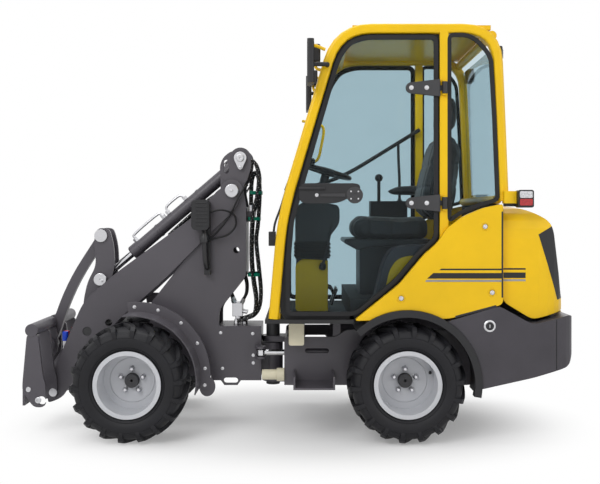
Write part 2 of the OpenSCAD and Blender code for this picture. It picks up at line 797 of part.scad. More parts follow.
// Side plate: way back from its front edge, then height over its lower edge
rear_frame_shares = [[0, 0], [0, 0.867], [0.2, 0.867], [0.243, 1], [1, 1], [1, 0.184], [0.714, 0]];
rear_frame_soft = 20;
ear_t = 30;
ear_r = 60;
upper_ear = hub_high + gap;
lower_ear = hub_low - gap - ear_t;
steer_ahead = 220;
steer_rear_y = 182;
steer_rear = [rear_x + steer_ahead, steer_rear_y, steer_z];
steer_front = [neck_x, steer_front_y, steer_z];
steer_window_r = 62;
belly_share = 0.2;
post_w = 40;
post_shares = [0.05, 0.19];
rear_post_share = 0.68;
floor_t = 20;
deck_clear = 30;
deck_z = axle_z + arch_r + deck_clear;
slot_shares = [[0.09, 0.62], [0.165, 0.62]];
slot_w = 24;
module pivot_ear(z) {
    translate([pivot_x, 0, z]) cylinder(r = ear_r, h = ear_t);
    block([rear_frame_x - over, -ear_r, z], [pivot_x, ear_r, z + ear_t]);
}
module rear_frame() {
    slot = laid([rear_frame_x, rear_frame_low], -rear_frame_l, rear_frame_h, slot_shares);
    top = rear_frame_low + rear_frame_h;
    color([0.28, 0.27, 0.29]) {
        both_sides()
            difference() {
                union() {
                    slab(soft_ring(laid([rear_frame_x, rear_frame_low], -rear_frame_l, rear_frame_h,
                                        rear_frame_shares), rear_frame_soft), frame_in, frame_out);
                    for (s = post_shares)
                        block([rear_frame_x - rear_frame_l * s - post_w, frame_in - rear_plate_t,
                               steer_z + steer_d / 2 + gap],
                              [rear_frame_x - rear_frame_l * s, frame_in + over, cab_base - floor_t]);
                    block([rear_frame_x - rear_frame_l * rear_post_share - post_w, frame_in - post_w,
                           top - post_w],
                          [rear_frame_x - rear_frame_l * rear_post_share, frame_in + over, deck_z]);
                }
                bar_across([rear_x, axle_z], axle_tube_r + fit, frame_in - over, frame_out + over);
                slab(band(slot, slot_w), frame_in - over, frame_out + over);
                for (p = slot) bar_across(p, slot_w / 2, frame_in - over, frame_out + over);
            }
        // Front cross plate with the window of the steering cylinder
        difference() {
            block([rear_frame_x - rear_plate_t, -frame_out, rear_frame_low],
                  [rear_frame_x, frame_out, upper_ear + ear_t]);
            translate([rear_frame_x - rear_plate_t - over, steer_front_y, steer_z])
                rotate([0, 90, 0]) cylinder(r = steer_window_r, h = rear_plate_t + 2 * over);
        }
        block([rear_frame_x - rear_frame_l * belly_share, -frame_in - over, rear_frame_low],
              [rear_frame_x, frame_in + over, rear_frame_low + rear_plate_t]);
        difference() {
            union() {
                pivot_ear(lower_ear);
                pivot_ear(upper_ear);
            }
            translate([pivot_x, 0, lower_ear - over])
                cylinder(r = pivot_r + fit, h = upper_ear + 2 * ear_t - lower_ear);
        }
        // Bracket and pin of the steering cylinder
        for (z = [steer_z - clevis_room / 2 - clevis_t, steer_z + clevis_room / 2])
            block([steer_rear[0] - clevis_half, steer_rear_y - clevis_half, z],
                  [steer_rear[0] + clevis_half, frame_in + over, z + clevis_t]);
        translate([steer_rear[0], steer_rear_y, steer_z - clevis_room / 2 - clevis_t])
            cylinder(r = steer_pin_r, h = clevis_room + 2 * clevis_t);
    }
}
pin_over = 20;
pin_clear = 39.7;
pivot_head_r = 38;
module pivot_pins() {
    top = upper_ear + ear_t + fit;
    head = cab_base - floor_t - pin_clear - top;
    color([0.2, 0.2, 0.21]) {
        translate([pivot_x, 0, lower_ear - pin_over]) cylinder(r = pivot_r, h = top - lower_ear + pin_over);
        translate([pivot_x, 0, top]) cylinder(r = pivot_head_r, h = head);
        translate([pivot_x, 0, lower_ear - pin_over - fit]) cylinder(r = pivot_head_r, h = pin_over);
    }
}
module rear_axle() {
    color([0.25, 0.24, 0.25]) axle(rear_x);
}
// Steering cylinder
steer_rod_r = 15;
steer_eye_r = 26;
steer_eye_t = 28;
steer_len = norm(steer_front - steer_rear);
steer_barrel_end_share = 0.65;
steer_bore_share = 0.075;
steer_rod_start_share = 0.36;
module steer_barrel() {
    way = unit(steer_front - steer_rear);
    color([0.28, 0.27, 0.29])
        difference() {
            union() {
                translate(steer_rear - [0, 0, steer_eye_t / 2]) cylinder(r = steer_eye_r, h = steer_eye_t);
                bar_between(steer_rear + way * steer_pin_r,
                            steer_rear + way * steer_len * steer_barrel_end_share, steer_d / 2);
            }
            translate(steer_rear - [0, 0, steer_d]) cylinder(r = steer_pin_r + fit, h = 2 * steer_d);
            bar_between(steer_rear + way * steer_len * steer_bore_share, steer_front, steer_rod_r + fit);
            for (z = [steer_z - clevis_room / 2 - clevis_t, steer_z + clevis_room / 2])
                block([steer_rear[0] - steer_d, steer_rear_y - steer_d, z - fit],
                      [steer_rear[0] + clevis_half + gap, frame_in + over, z + clevis_t + fit]);
        }
}
module steer_rod() {
    way = unit(steer_front - steer_rear);
    color("gainsboro") {
        bar_between(steer_rear + way * steer_len * steer_rod_start_share,
                    steer_front - way * steer_eye_r / 2, steer_rod_r);
        difference() {
            translate(steer_front - [0, 0, steer_eye_t / 2]) cylinder(r = steer_eye_r, h = steer_eye_t);
            translate(steer_front - [0, 0, steer_eye_t]) cylinder(r = steer_pin_r, h = 2 * steer_eye_t);
        }
    }
}

// Engine, a plain mass between the frame plates and under the hood
engine_tail = 720;
engine_clear = 38;
engine_low = 340;
engine_mid = 620;
engine_top = 930;
engine_head_w = 400;
module engine_block() {
    front = cab_x - cab_l * waist_share[0] - floor_t / 2 - engine_clear;
    color([0.35, 0.35, 0.37]) {
        block([rear_x - engine_tail, -frame_in, engine_low], [front, frame_in, engine_mid]);
        block([rear_x - engine_tail, -engine_head_w / 2, engine_mid],
              [front, engine_head_w / 2, engine_top]);
    }
}

// Counterweight, wrapped round the back
weight_rise = 393;
weight_side_t = 70;
weight_plan_soft = 120;
weight_soft = 30;
// Side view: way back from the rear axle, then height over it
weight_shares = [
    [0.176, 0.763], [0.54, 1], [0.735, 0.766], [0.969, 0.883], [1, 0.83], [1, 0.7], [0.984, 0.338],
    [0.956, 0.226], [0.747, 0.089], [0.421, -0.069], [0.3, 0]
];
// Hood hinge: pins across two pockets in the top edge of the counterweight
hood_hinge_back = 826;
hood_hinge_up = 322;
hood_hinge_z = axle_z + hood_hinge_up;
hood_hinge = [rear_x - hood_hinge_back, hood_hinge_z];
hood_pin_r = 8;
hood_eye_r = 17;
pocket_y = 275;
pocket_w = 56;
pocket_ahead = 30;
module counterweight() {
    plan = [[rear_x, -body_w / 2], [rear_x, body_w / 2], [rear_x - rear_reach, body_w / 2],
            [rear_x - rear_reach, -body_w / 2]];
    color([0.25, 0.24, 0.26])
        difference() {
            intersection() {
                slab(soft_ring(laid([rear_x, axle_z], -rear_reach, weight_rise, weight_shares), weight_soft),
                     -body_w / 2, body_w / 2);
                layer(soft_ring(plan, weight_plan_soft), 0, axle_z + 2 * weight_rise);
            }
            block([rear_x - rear_frame_tail, weight_side_t - body_w / 2, 0],
                  [rear_x, body_w / 2 - weight_side_t, axle_z + 2 * weight_rise]);
            bar_across([rear_x, axle_z], arch_r + fit, -body_w, body_w);
            both_sides()
                block([rear_x - rear_reach - over, pocket_y - pocket_w / 2, hood_hinge_z - hood_eye_r - gap],
                      [hood_hinge[0] + pocket_ahead, pocket_y + pocket_w / 2, axle_z + 2 * weight_rise]);
        }
    color([0.25, 0.24, 0.26])
        both_sides()
            bar_across(hood_hinge, hood_pin_r, pocket_y - pocket_w / 2 - over,
                       pocket_y + pocket_w / 2 + over);
}

// Side panels above the rear wheels
seam_back = 478;
panel_rise = 901;
panel_soft = 26;
// Panel: way back from the rear axle, then height over it
panel_shares = [
    [-0.565, 0.353], [-0.09, 0.555], [0.172, 0.721], [0.312, 0.786], [0.414, 0.868], [0.573, 0.932],
    [0.785, 0.98], [0.962, 1], [1, 1], [1, 0.445], [0.441, 0.366]
];
module side_panels() {
    color([0.94, 0.78, 0.02])
        both_sides()
            difference() {
                slab(soft_ring(laid([rear_x, axle_z], -seam_back, panel_rise, panel_shares), panel_soft),
                     cab_w / 2, body_w / 2);
                bar_across([rear_x, axle_z], arch_r + fit, 0, body_w);
            }
}
fender_in_share = 0.5;
fender_in_r = wheel_r + (arch_r - wheel_r) * fender_in_share;
fender_lip = 30;
fender_out = 14;
fender_t = 8;
fender_low_angle = 46;
fender_high_angle = 190;
module rear_fenders() {
    color([0.12, 0.12, 0.13])
        both_sides()
            translate([rear_x, 0, axle_z]) {
                arc_ring(fender_in_r, arch_r, body_w / 2 - fender_lip, body_w / 2 + fender_out,
                         fender_low_angle, fender_high_angle);
                arc_ring(arch_r - fender_t, arch_r, frame_out + gap, body_w / 2,
                         fender_low_angle, fender_high_angle);
            }
}

// Cab: two swept side loops, cross tubes, roof, door pillar and hinge pins
cab_ahead = 715;
cab_x = rear_x + cab_ahead;
cab_rise = roof_top - cab_base;
cab_corner = [cab_x, cab_base];
loop_y = cab_w / 2 - pillar_deep / 2;
loop_in = cab_w / 2 - pillar_deep;
// Middle line of a side loop: way back from the front of the cab, then height over the floor
loop_shares = [[0.035, 0.002], [0.073, 0.355], [0.301, 0.983], [0.951, 0.983], [0.967, 0.69], [0.981, 0.4]];
loop_soft = 170;
header_r = 24;
front_header_share = [0.335, 0.962];
rear_header_share = [0.935, 0.962];
waist_share = [0.957, 0.405];
waist_r = 22;
sill_h = 30;
sill_share = 0.02;
roof_t = 24;
roof_shares = [0.36, 0.93];
roof_drop = 5;
post_share = 0.7345;
post_half = 22;
post_deep = 44;
hinge_out = 18;
hinge_y = cab_w / 2 + hinge_out;
hinge_r = 7;
hinge_heights = [1208, 1787];
hinge_half = 30;
hinge_tab = 8;
hinge_tab_half = 12;
post_x = cab_x - cab_l * post_share;
module cab_frame() {
    loop = soft_path(laid(cab_corner, -cab_l, cab_rise, loop_shares), loop_soft);
    front_header = laid(cab_corner, -cab_l, cab_rise, [front_header_share])[0];
    rear_header = laid(cab_corner, -cab_l, cab_rise, [rear_header_share])[0];
    waist = laid(cab_corner, -cab_l, cab_rise, [waist_share])[0];
    color([0.95, 0.79, 0.02]) {
        both_sides() {
            sweep(set_across(loop, loop_y), tube_section(pillar_w, pillar_deep));
            block([post_x - post_half, cab_w / 2 - post_deep, deck_z + floor_t + fit],
                  [post_x + post_half, cab_w / 2 - fit, roof_top - pillar_w / 2]);
        }
        bar_across(front_header, header_r, -loop_y, loop_y);
        bar_across(rear_header, header_r, -loop_y, loop_y);
        bar_across(waist, waist_r, -loop_y, loop_y);
        block([cab_x - cab_l * roof_shares[1], -loop_y, roof_top - roof_drop - roof_t],
              [cab_x - cab_l * roof_shares[0], loop_y, roof_top - roof_drop]);
        sill_x = cab_x - cab_l * sill_share;
        block([sill_x - pillar_w, -loop_y, cab_base], [sill_x, loop_y, cab_base + sill_h]);
        // Hinge pins of the door, each between two tabs
        for (z = hinge_heights) {
            translate([post_x, hinge_y, z - hinge_half - hinge_tab])
                cylinder(r = hinge_r, h = 2 * (hinge_half + hinge_tab));
            for (low = [z - hinge_half - hinge_tab, z + hinge_half])
                block([post_x - hinge_tab_half, cab_w / 2 - post_deep / 2, low],
                      [post_x + hinge_tab_half, hinge_y + hinge_r, low + hinge_tab]);
        }
    }
}
floor_riser_share = 0.74;
module cab_floor() {
    waist = laid(cab_corner, -cab_l, cab_rise, [waist_share])[0];
    half = floor_t / 2;
    riser_x = rear_x + arch_r * floor_riser_share;
    path = [
        [cab_x - half, cab_base - half], [riser_x, cab_base - half], [riser_x, deck_z + half],
        [waist[0], deck_z + half], [waist[0], waist[1] - waist_r - fit]
    ];
    color([0.2, 0.2, 0.21])
        for (i = [0:len(path) - 2])
            let (wide = i == 0 ? cab_w / 2 : door_y - gap, lift = i == len(path) - 2 ? 0 : half)
                block([min(path[i][0], path[i + 1][0]) - half, -wide,
                       min(path[i][1], path[i + 1][1]) - half],
                      [max(path[i][0], path[i + 1][0]) + half, wide,
                       max(path[i][1], path[i + 1][1]) + lift]);
}

// Glazing: windscreen, rear window, right side window and the two quarter windows
// Front and rear glass: way back from the front of the cab, then height over the floor
screen_shares = [[0.035, 0.022], [0.073, 0.355], [0.275, 0.91]];
back_shares = [[0.979, 0.42], [0.967, 0.69], [0.955, 0.93]];
// Door and right window: way back from the front of the cab, then height over the floor
door_shares = [
    [0.085, 0.013], [0.085, 0.187], [0.099, 0.328], [0.221, 0.682], [0.293, 0.883], [0.341, 0.94],
    [0.415, 0.96], [0.71, 0.96], [0.71, 0.269], [0.648, 0.231], [0.546, 0.13], [0.375, 0.013]
];
quarter_shares = [
    [0.75, 0.963], [0.826, 0.963], [0.866, 0.948], [0.906, 0.914], [0.929, 0.883], [0.943, 0.69],
    [0.957, 0.402], [0.886, 0.387], [0.804, 0.36], [0.75, 0.328]
];
door_rear_share = 0.71;
pane_soft = 30;
pane_y = cab_w / 2 - 2 * gap;
door_soft = 40;
module cab_glass() {
    screen = soft_path(laid(cab_corner, -cab_l, cab_rise, screen_shares), loop_soft);
    back = laid(cab_corner, -cab_l, cab_rise, back_shares);
    sheet = [[glass_t / 2, loop_in - fit], [-glass_t / 2, loop_in - fit], [-glass_t / 2, fit - loop_in],
             [glass_t / 2, fit - loop_in]];
    quarter = [for (s = quarter_shares)
        [min(cab_x - cab_l * s[0], post_x - post_half - fit), cab_base + cab_rise * s[1]]];
    window = [for (s = door_shares)
        [s[0] < door_rear_share ? cab_x - cab_l * s[0] : post_x + post_half + fit,
         cab_base + cab_rise * s[1]]];
    color([0.6, 0.72, 0.76, 0.5]) {
        sweep(set_across(screen, 0), sheet);
        sweep(set_across(back, 0), sheet);
        slab(soft_ring(window, door_soft), -pane_y, -pane_y + glass_t);
        both_sides() slab(soft_ring(quarter, pane_soft), pane_y - glass_t, pane_y);
    }
}

// Door: one pane in a rubber edge, with strap hinges and a latch plate
seal_w = 22;
seal_deep = 18;
door_y = cab_w / 2 - seal_deep;
strap_t = 8;
strap_h = 26;
strap_l = 190;
knuckle_r = 14;
latch_shares = [[0.14, 0.392], [0.14, 0.46], [0.39, 0.46], [0.39, 0.43], [0.3, 0.392]];
latch_t = 10;
grip_r = 9;
grip_l = 130;
function door_outline() = soft_ring(laid(cab_corner, -cab_l, cab_rise, door_shares), door_soft);
module door_glass() {
    color([0.6, 0.72, 0.76, 0.5])
        translate([0, door_y + glass_t, 0])
            rotate([90, 0, 0])
                linear_extrude(glass_t) offset(delta = -seal_w / 2 - fit) polygon(door_outline());
}
module door_seal() {
    color([0.08, 0.08, 0.08])
        translate([0, cab_w / 2, 0])
            rotate([90, 0, 0])
                difference() {
                    linear_extrude(seal_deep) polygon(door_outline());
                    translate([0, 0, -over]) linear_extrude(seal_deep + 2 * over)
                        offset(delta = -seal_w) polygon(door_outline());
                    translate([0, 0, seal_deep - glass_t - fit]) linear_extrude(glass_t + 2 * over)
                        offset(delta = -seal_w / 2) polygon(door_outline());
                }
}
module door_fittings() {
    y = cab_w / 2 + fit;
    latch = laid(cab_corner, -cab_l, cab_rise, latch_shares);
    color([0.1, 0.1, 0.1]) {
        for (z = hinge_heights) {
            block([post_x + hinge_r + fit, y, z - strap_h / 2],
                  [post_x + strap_l, y + strap_t, z + strap_h / 2]);
            difference() {
                translate([post_x, hinge_y, z - hinge_half + fit])
                    cylinder(r = knuckle_r, h = 2 * (hinge_half - fit));
                translate([post_x, hinge_y, z - hinge_half - over])
                    cylinder(r = hinge_r + fit, h = 2 * (hinge_half + over));
                block([post_x - knuckle_r, 0, z - hinge_half],
                      [post_x + knuckle_r, cab_w / 2 + fit, z + hinge_half]);
            }
        }
        slab(soft_ring(latch, door_soft), y, y + latch_t);
        bar_between([latch[1][0] - grip_l, y + latch_t + grip_r / 2, latch[1][1] - strap_h],
                    [latch[1][0], y + latch_t + grip_r / 2, latch[1][1] - strap_h], grip_r);
    }
}

// Seat
seat_base_w = 300;
seat_base_top = 1010;
seat_w = 480;
cushion_shares = [[0, 0.2], [0.05, 0.95], [0.4, 0.85], [1, 1], [1, 0.1], [0.85, 0], [0.15, 0]];
back_rest_shares = [[0, 0], [0.3, 0.45], [0.58, 1], [1, 0.97], [0.82, 0.4], [0.62, 0]];
head_shares = [[0, 0], [0.12, 1], [0.62, 1], [0.75, 0]];
seat_base_shares = [0.15, 0.7];
back_start_share = 0.85;
head_back_share = 0.5;
head_rise_share = 0.93;
seat_front = 286;
seat_l = 470;
seat_h = 130;
back_l = 190;
back_h = 560;
head_w = 280;
head_h = 210;
head_l = 110;
seat_soft = 60;
seat_top = seat_base_top + seat_h;
seat_x0 = rear_x + seat_front;
module seat_base() {
    color([0.15, 0.15, 0.16])
        block([seat_x0 - seat_l * seat_base_shares[1], -seat_base_w / 2, deck_z + floor_t],
              [seat_x0 - seat_l * seat_base_shares[0], seat_base_w / 2, seat_base_top]);
}
module seat_pad() {
    cushion = laid([seat_x0, seat_base_top + fit], -seat_l, seat_h, cushion_shares);
    foot = [seat_x0 - seat_l * back_start_share, seat_top - seat_h / 2];
    rest = laid(foot, -back_l, back_h, back_rest_shares);
    head = laid(foot + [-back_l * head_back_share, back_h * head_rise_share], -head_l, head_h, head_shares);
    color([0.12, 0.12, 0.13]) {
        slab(soft_ring(cushion, seat_soft), -seat_w / 2, seat_w / 2);
        slab(soft_ring(rest, seat_soft), -seat_w / 2, seat_w / 2);
        slab(soft_ring(head, seat_soft), -head_w / 2, head_w / 2);
    }
}

// Driver's console, steering column and wheel
column_w = 240;
column_l = 170;
column_top = 910;
column_ahead = 560;
console_w = 300;
console_l = 236;
// Console: way back from its front, then height over the column
console_shares = [[-0.02, 0], [0.38, 0], [1, 0.592], [1, 0.903], [0.254, 1], [-0.02, 0.875]];
console_top = 1231;
wheel_tilt = -16;
steer_wheel_r = 145;
steer_rim_r = 13;
steer_sides = 20;
steer_hub_r = 46;
steer_hub_h = 40;
steer_wheel_z = 1389;
steer_wheel_back = 170;
spoke_r = 9;
spoke_count = 3;
shaft_r = 24;
shaft_l = 200;
console_front = rear_x + column_ahead;
wheel_at = [console_front - steer_wheel_back, 0, steer_wheel_z];
module wheel_frame() {
    translate(wheel_at) rotate([0, wheel_tilt, 0]) children();
}
module console() {
    shape = laid([console_front, column_top], -console_l, console_top - column_top, console_shares);
    color([0.2, 0.2, 0.21]) {
        block([console_front - column_l, -column_w / 2, cab_base],
              [console_front, column_w / 2, column_top]);
        slab(soft_ring(shape, seat_soft / 2), -console_w / 2, console_w / 2);
        wheel_frame()
            translate([0, 0, -shaft_l])
                cylinder(r = shaft_r, h = shaft_l - steer_hub_h / 2 - fit);
    }
}
module steering_wheel() {
    color([0.1, 0.1, 0.1])
        wheel_frame() {
            rotate_extrude()
                translate([steer_wheel_r - steer_rim_r, 0]) circle(r = steer_rim_r, $fn = steer_sides);
            translate([0, 0, -steer_hub_h / 2]) cylinder(r = steer_hub_r, h = steer_hub_h);
            for (i = [0:spoke_count - 1])
                rotate([0, 0, 360 * i / spoke_count])
                    rotate([0, 90, 0]) cylinder(r = spoke_r, h = steer_wheel_r - steer_rim_r);
        }
}
lever_y = -350;
lever_box_w = 110;
lever_box_l = 220;
lever_box_top = 1230;
lever_r = 10;
lever_h = 140;
knob_r = 24;
lever_x = 120;
module control_levers() {
    x = rear_x + lever_x;
    color([0.14, 0.14, 0.15]) {
        block([x - lever_box_l, lever_y - lever_box_w / 2, deck_z + floor_t],
              [x, lever_y + lever_box_w / 2, lever_box_top]);
        translate([x - lever_box_l / 4, lever_y, lever_box_top]) cylinder(r = lever_r, h = lever_h);
        translate([x - lever_box_l / 4, lever_y, lever_box_top + lever_h]) sphere(r = knob_r);
    }
}
rail_r = 12;
rail_seat = 1.8;
rail_shares = [[0.122, 0.452], [0.34, 0.5], [0.735, 0.7]];
module cab_rails() {
    y = rail_r + fit - loop_in - rail_seat;
    pts = laid(cab_corner, -cab_l, cab_rise, rail_shares);
    path = soft_path(pts, loop_soft);
    color([0.15, 0.15, 0.16]) sweep(set_across(path, y), round_section(rail_r, hose_sides));
}

// Mirrors, lamps, steps and service items
mirror_w = 120;
mirror_h = 215;
mirror_t = 34;
mirror_y = 490;
mirror_low = 1795;
mirror_back_share = 0.2;
mirror_foot_share = 0.8575;
arm_r = 11;
mirror_soft = 12;
module mirrors() {
    x = cab_x - cab_l * mirror_back_share;
    low = loop_shares[1];
    high = loop_shares[2];
    foot_share = low[0] + (high[0] - low[0]) * (mirror_foot_share - low[1]) / (high[1] - low[1]);
    foot = [cab_x - cab_l * foot_share, cab_base + cab_rise * mirror_foot_share];
    color([0.15, 0.15, 0.15])
        both_sides() {
            layer(soft_ring([[x, mirror_y], [x + mirror_t, mirror_y], [x + mirror_t, mirror_y + mirror_w],
                             [x, mirror_y + mirror_w]], mirror_soft), mirror_low, mirror_low + mirror_h);
            bar_between([foot[0], cab_w / 2 + fit, foot[1]], [foot[0], mirror_y + arm_r, foot[1]], arm_r);
            bar_between([foot[0], mirror_y + arm_r, foot[1]],
                        [x + mirror_t / 2, mirror_y + arm_r, foot[1]], arm_r);
        }
}
rear_lamp_back = 545;
rear_lamp_l = 78;
rear_lamp_w = 62;
rear_lamp_low = 1185;
rear_lamp_h = 88;
rear_arm_h = 30;
rear_arm_t = 12;
rear_arm_l = 60;
module rear_lamps() {
    x = rear_x - rear_lamp_back;
    y = cab_w / 2 + fit;
    top = rear_lamp_low + rear_lamp_h;
    color([0.12, 0.12, 0.13])
        both_sides() {
            slab(soft_ring([[x, rear_lamp_low], [x - rear_lamp_l, rear_lamp_low], [x - rear_lamp_l, top],
                            [x, top]], mirror_soft), y, y + rear_lamp_w);
            block([x, y, rear_lamp_low + gap],
                  [x + rear_arm_l, y + rear_arm_t, rear_lamp_low + gap + rear_arm_h]);
        }
}
step_clear = 60;
step_w = 200;
step_z = 262;
step_h = 66;
step_t = 10;
step_back = 50;
module cab_steps() {
    x = rear_frame_x - step_back;
    back = rear_x + wheel_r + step_clear;
    color([0.2, 0.2, 0.21])
        both_sides() {
            block([back, frame_out, step_z], [x, frame_out + step_w, step_z + step_t]);
            for (s = [back, x - step_t])
                block([s, frame_out, step_z], [s + step_t, frame_out + step_w, step_z + step_h]);
        }
}
tank_l = 80;
tank_w = 80;
tank_h = 114;
tank_low = cab_base - floor_t - 3 * gap - tank_h;
module washer_tank() {
    x = rear_frame_x - step_back / 2;
    color([0.9, 0.88, 0.78])
        slab(soft_ring([[x - tank_l, tank_low], [x, tank_low], [x, tank_low + tank_h],
                        [x - tank_l, tank_low + tank_h]], mirror_soft), frame_out, frame_out + tank_w);
}
filter_r = 27;
filter_l = 118;
filter_y = 236;
filter_z = 300;
filter_head = 40;
module oil_filter() {
    color([0.9, 0.88, 0.78])
        translate([rear_frame_x, filter_y, filter_z]) rotate([0, 90, 0]) {
            cylinder(r = filter_r + eye_wall / 2, h = filter_head);
            cylinder(r = filter_r, h = filter_l);
        }
}

// Engine hood: a shell from three crossed outlines, with its grille let in at the back
hood_back = 483;
hood_up = 326;
hood_low = axle_z + hood_up;
hood_plan_soft = 150;
hood_crown_soft = 170;
hood_soft = 34;
// Hood: way back from the seam, then height over its lower edge
hood_shares = [
    [0, 1], [0.276, 0.979], [0.477, 0.943], [0.7, 0.872], [0.787, 0.786], [0.937, 0.2], [1, 0.072],
    [0.526, 0], [0.426, 0], [0.003, 0.15]
];
grille_shares = [[0.55, 0.74], [0.95, 0.88], [1.2, 0.2], [0.86, 0.16]];
hood_x = rear_x - hood_back;
hood_open_share = 0.2;
// Heights and half width of the grille's slots, as shares of the hood
grille_slot_shares = [0.28, 0.36, 0.44, 0.52, 0.6, 0.68];
grille_slot_half_share = 0.3;
grille_slot_w = 20;
hood_strap_w = 22;
// Place on the rear wall of the hood where a hinge strap ends
hood_strap_share = [0.955, 0.11];
module hood_strap() {
    top = laid([hood_x, hood_low], -hood_l, hood_h, [hood_strap_share])[0];
    half = pocket_w / 2 - gap;
    difference() {
        union() {
            slab(band([hood_hinge, top], hood_strap_w), pocket_y - half, pocket_y + half);
            bar_across(hood_hinge, hood_eye_r, pocket_y - half, pocket_y + half);
        }
        bar_across(hood_hinge, hood_pin_r + fit, pocket_y - pocket_w, pocket_y + pocket_w);
    }
}
module hood_form(wall) {
    corner = [hood_x - wall, hood_low + wall];
    l = hood_l - 2 * wall;
    h = hood_h - 2 * wall;
    half = hood_w / 2 - wall;
    intersection() {
        slab(soft_ring(laid(corner, -l, h, hood_shares), hood_soft), -half, half);
        layer(soft_ring([[corner[0] + hood_l, -half], [corner[0] + hood_l, half], [corner[0] - l, half],
                         [corner[0] - l, -half]], hood_plan_soft), 0, roof_top);
        translate([corner[0] - hood_l, 0, 0])
            rotate([90, 0, 90])
                linear_extrude(2 * hood_l)
                    polygon(soft_ring([[-half, 0], [half, 0], [half, corner[1] + h], [-half, corner[1] + h]],
                                      hood_crown_soft));
    }
}
module hood_shell() {
    difference() {
        hood_form(0);
        for (x = [0, hood_wall + over], z = [0, -hood_h * hood_open_share])
            translate([x, 0, z]) hood_form(hood_wall);
    }
}
module grille_space(slack) {
    pts = laid([hood_x, hood_low], -hood_l, hood_h, grille_shares);
    translate([0, hood_w, 0])
        rotate([90, 0, 0])
            linear_extrude(2 * hood_w) offset(delta = slack) polygon(pts);
}
module hood() {
    color([0.94, 0.78, 0.02])
        difference() {
            hood_shell();
            grille_space(fit);
        }
    color([0.94, 0.78, 0.02]) both_sides() hood_strap();
}
module hood_grille() {
    color([0.1, 0.1, 0.11])
        difference() {
            intersection() {
                hood_shell();
                grille_space(0);
            }
            for (s = grille_slot_shares)
                block([hood_x - hood_l - over, -hood_w * grille_slot_half_share, hood_low + hood_h * s],
                      [hood_x - hood_l / 2, hood_w * grille_slot_half_share,
                       hood_low + hood_h * s + grille_slot_w]);
        }
}

rear_frame();
rear_axle();
engine_block();
counterweight();
side_panels();
rear_fenders();
cab_frame();
cab_floor();
cab_glass();
seat_base();
seat_pad();
console();
steering_wheel();
control_levers();
cab_rails();
mirrors();
rear_lamps();
cab_steps();
washer_tank();
oil_filter();
pivot_pins();
door_glass();
door_seal();
door_fittings();
hood();
hood_grille();
front_frame();
front_axle();
mudguards();
tower_lamps();
tower_hoses();
boom();
couplers();
rocker_pin();
rocker();
link_pin();
link();
carrier_pin();
carrier();
tilt_barrel();
tilt_rod();
lift_barrels();
lift_rods();
steer_barrel();
steer_rod();
tyre(front_x, 1);  // tyre_front_left
tyre(front_x, -1);  // tyre_front_right
tyre(rear_x, 1);  // tyre_rear_left
tyre(rear_x, -1);  // tyre_rear_right
rim(front_x, 1);  // rim_front_left
rim(front_x, -1);  // rim_front_right
rim(rear_x, 1);  // rim_rear_left
rim(rear_x, -1);  // rim_rear_right
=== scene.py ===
from math import cos, pi, radians, sin

import bmesh
import bpy
from mathutils import Matrix, Vector
from mathutils.bvhtree import BVHTree


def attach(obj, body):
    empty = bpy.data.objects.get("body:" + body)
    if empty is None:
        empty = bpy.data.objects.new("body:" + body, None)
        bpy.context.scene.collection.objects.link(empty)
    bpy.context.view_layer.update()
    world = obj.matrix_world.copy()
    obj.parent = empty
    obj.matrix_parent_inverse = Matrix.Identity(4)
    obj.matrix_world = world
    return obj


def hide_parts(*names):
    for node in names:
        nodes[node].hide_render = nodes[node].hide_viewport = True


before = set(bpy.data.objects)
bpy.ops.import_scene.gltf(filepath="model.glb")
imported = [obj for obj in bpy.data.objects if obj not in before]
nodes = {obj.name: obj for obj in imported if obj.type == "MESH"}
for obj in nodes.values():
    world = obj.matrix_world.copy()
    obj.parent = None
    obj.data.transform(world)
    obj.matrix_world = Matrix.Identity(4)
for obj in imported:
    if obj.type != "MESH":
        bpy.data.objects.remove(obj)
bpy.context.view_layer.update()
scene = bpy.context.scene


# Materials


def shader(name):
    material = bpy.data.materials.new(name)
    material.use_nodes = True
    tree = material.node_tree
    return material, tree, tree.nodes["Principled BSDF"]


def link(tree, a, out, b, into):
    tree.links.new(a.outputs[out], b.inputs[into])


def preset(node, values):
    """Gives a node's own sockets their values."""
    for socket, value in values.items():
        node.inputs[socket].default_value = value


def texture(tree, kind, scale, stretch=None):
    """A texture node laid out in the object's own lengths, drawn out where it is stretched."""
    tex = tree.nodes.new(kind)
    tex.inputs["Scale"].default_value = scale
    place = tree.nodes.new("ShaderNodeTexCoord")
    if stretch:
        pull = tree.nodes.new("ShaderNodeMapping")
        pull.inputs["Scale"].default_value = stretch
        link(tree, place, "Object", pull, "Vector")
        link(tree, pull, "Vector", tex, "Vector")
    else:
        link(tree, place, "Object", tex, "Vector")
    return tex


def noise(tree, scale, detail=4.0, rough=0.55, stretch=None):
    tex = texture(tree, "ShaderNodeTexNoise", scale, stretch)
    preset(tex, {"Detail": detail, "Roughness": rough})
    return tex


def ramp(tree, source, out, low, high, a, b):
    tones = tree.nodes.new("ShaderNodeValToRGB")
    tones.color_ramp.elements[0].position = low
    tones.color_ramp.elements[1].position = high
    tones.color_ramp.elements[0].color = (*a, 1)
    tones.color_ramp.elements[1].color = (*b, 1)
    link(tree, source, out, tones, "Fac")
    return tones


def spread(tree, source, out, low, high):
    """A value from 0 to 1 laid out between two numbers."""
    move = tree.nodes.new("ShaderNodeMapRange")
    preset(move, {"To Min": low, "To Max": high})
    link(tree, source, out, move, "Value")
    return move


def scaled(colour, k):
    return tuple(min(1.0, c * k) for c in colour)


def toned(tree, bsdf, source, out, low, high, a, b):
    """Lets a texture move the base colour between two tones."""
    link(tree, ramp(tree, source, out, low, high, a, b), "Color", bsdf, "Base Color")


def glossed(tree, bsdf, source, low, high):
    """Lets a texture move the roughness between two values."""
    link(tree, spread(tree, source, "Fac", low, high), "Result", bsdf, "Roughness")


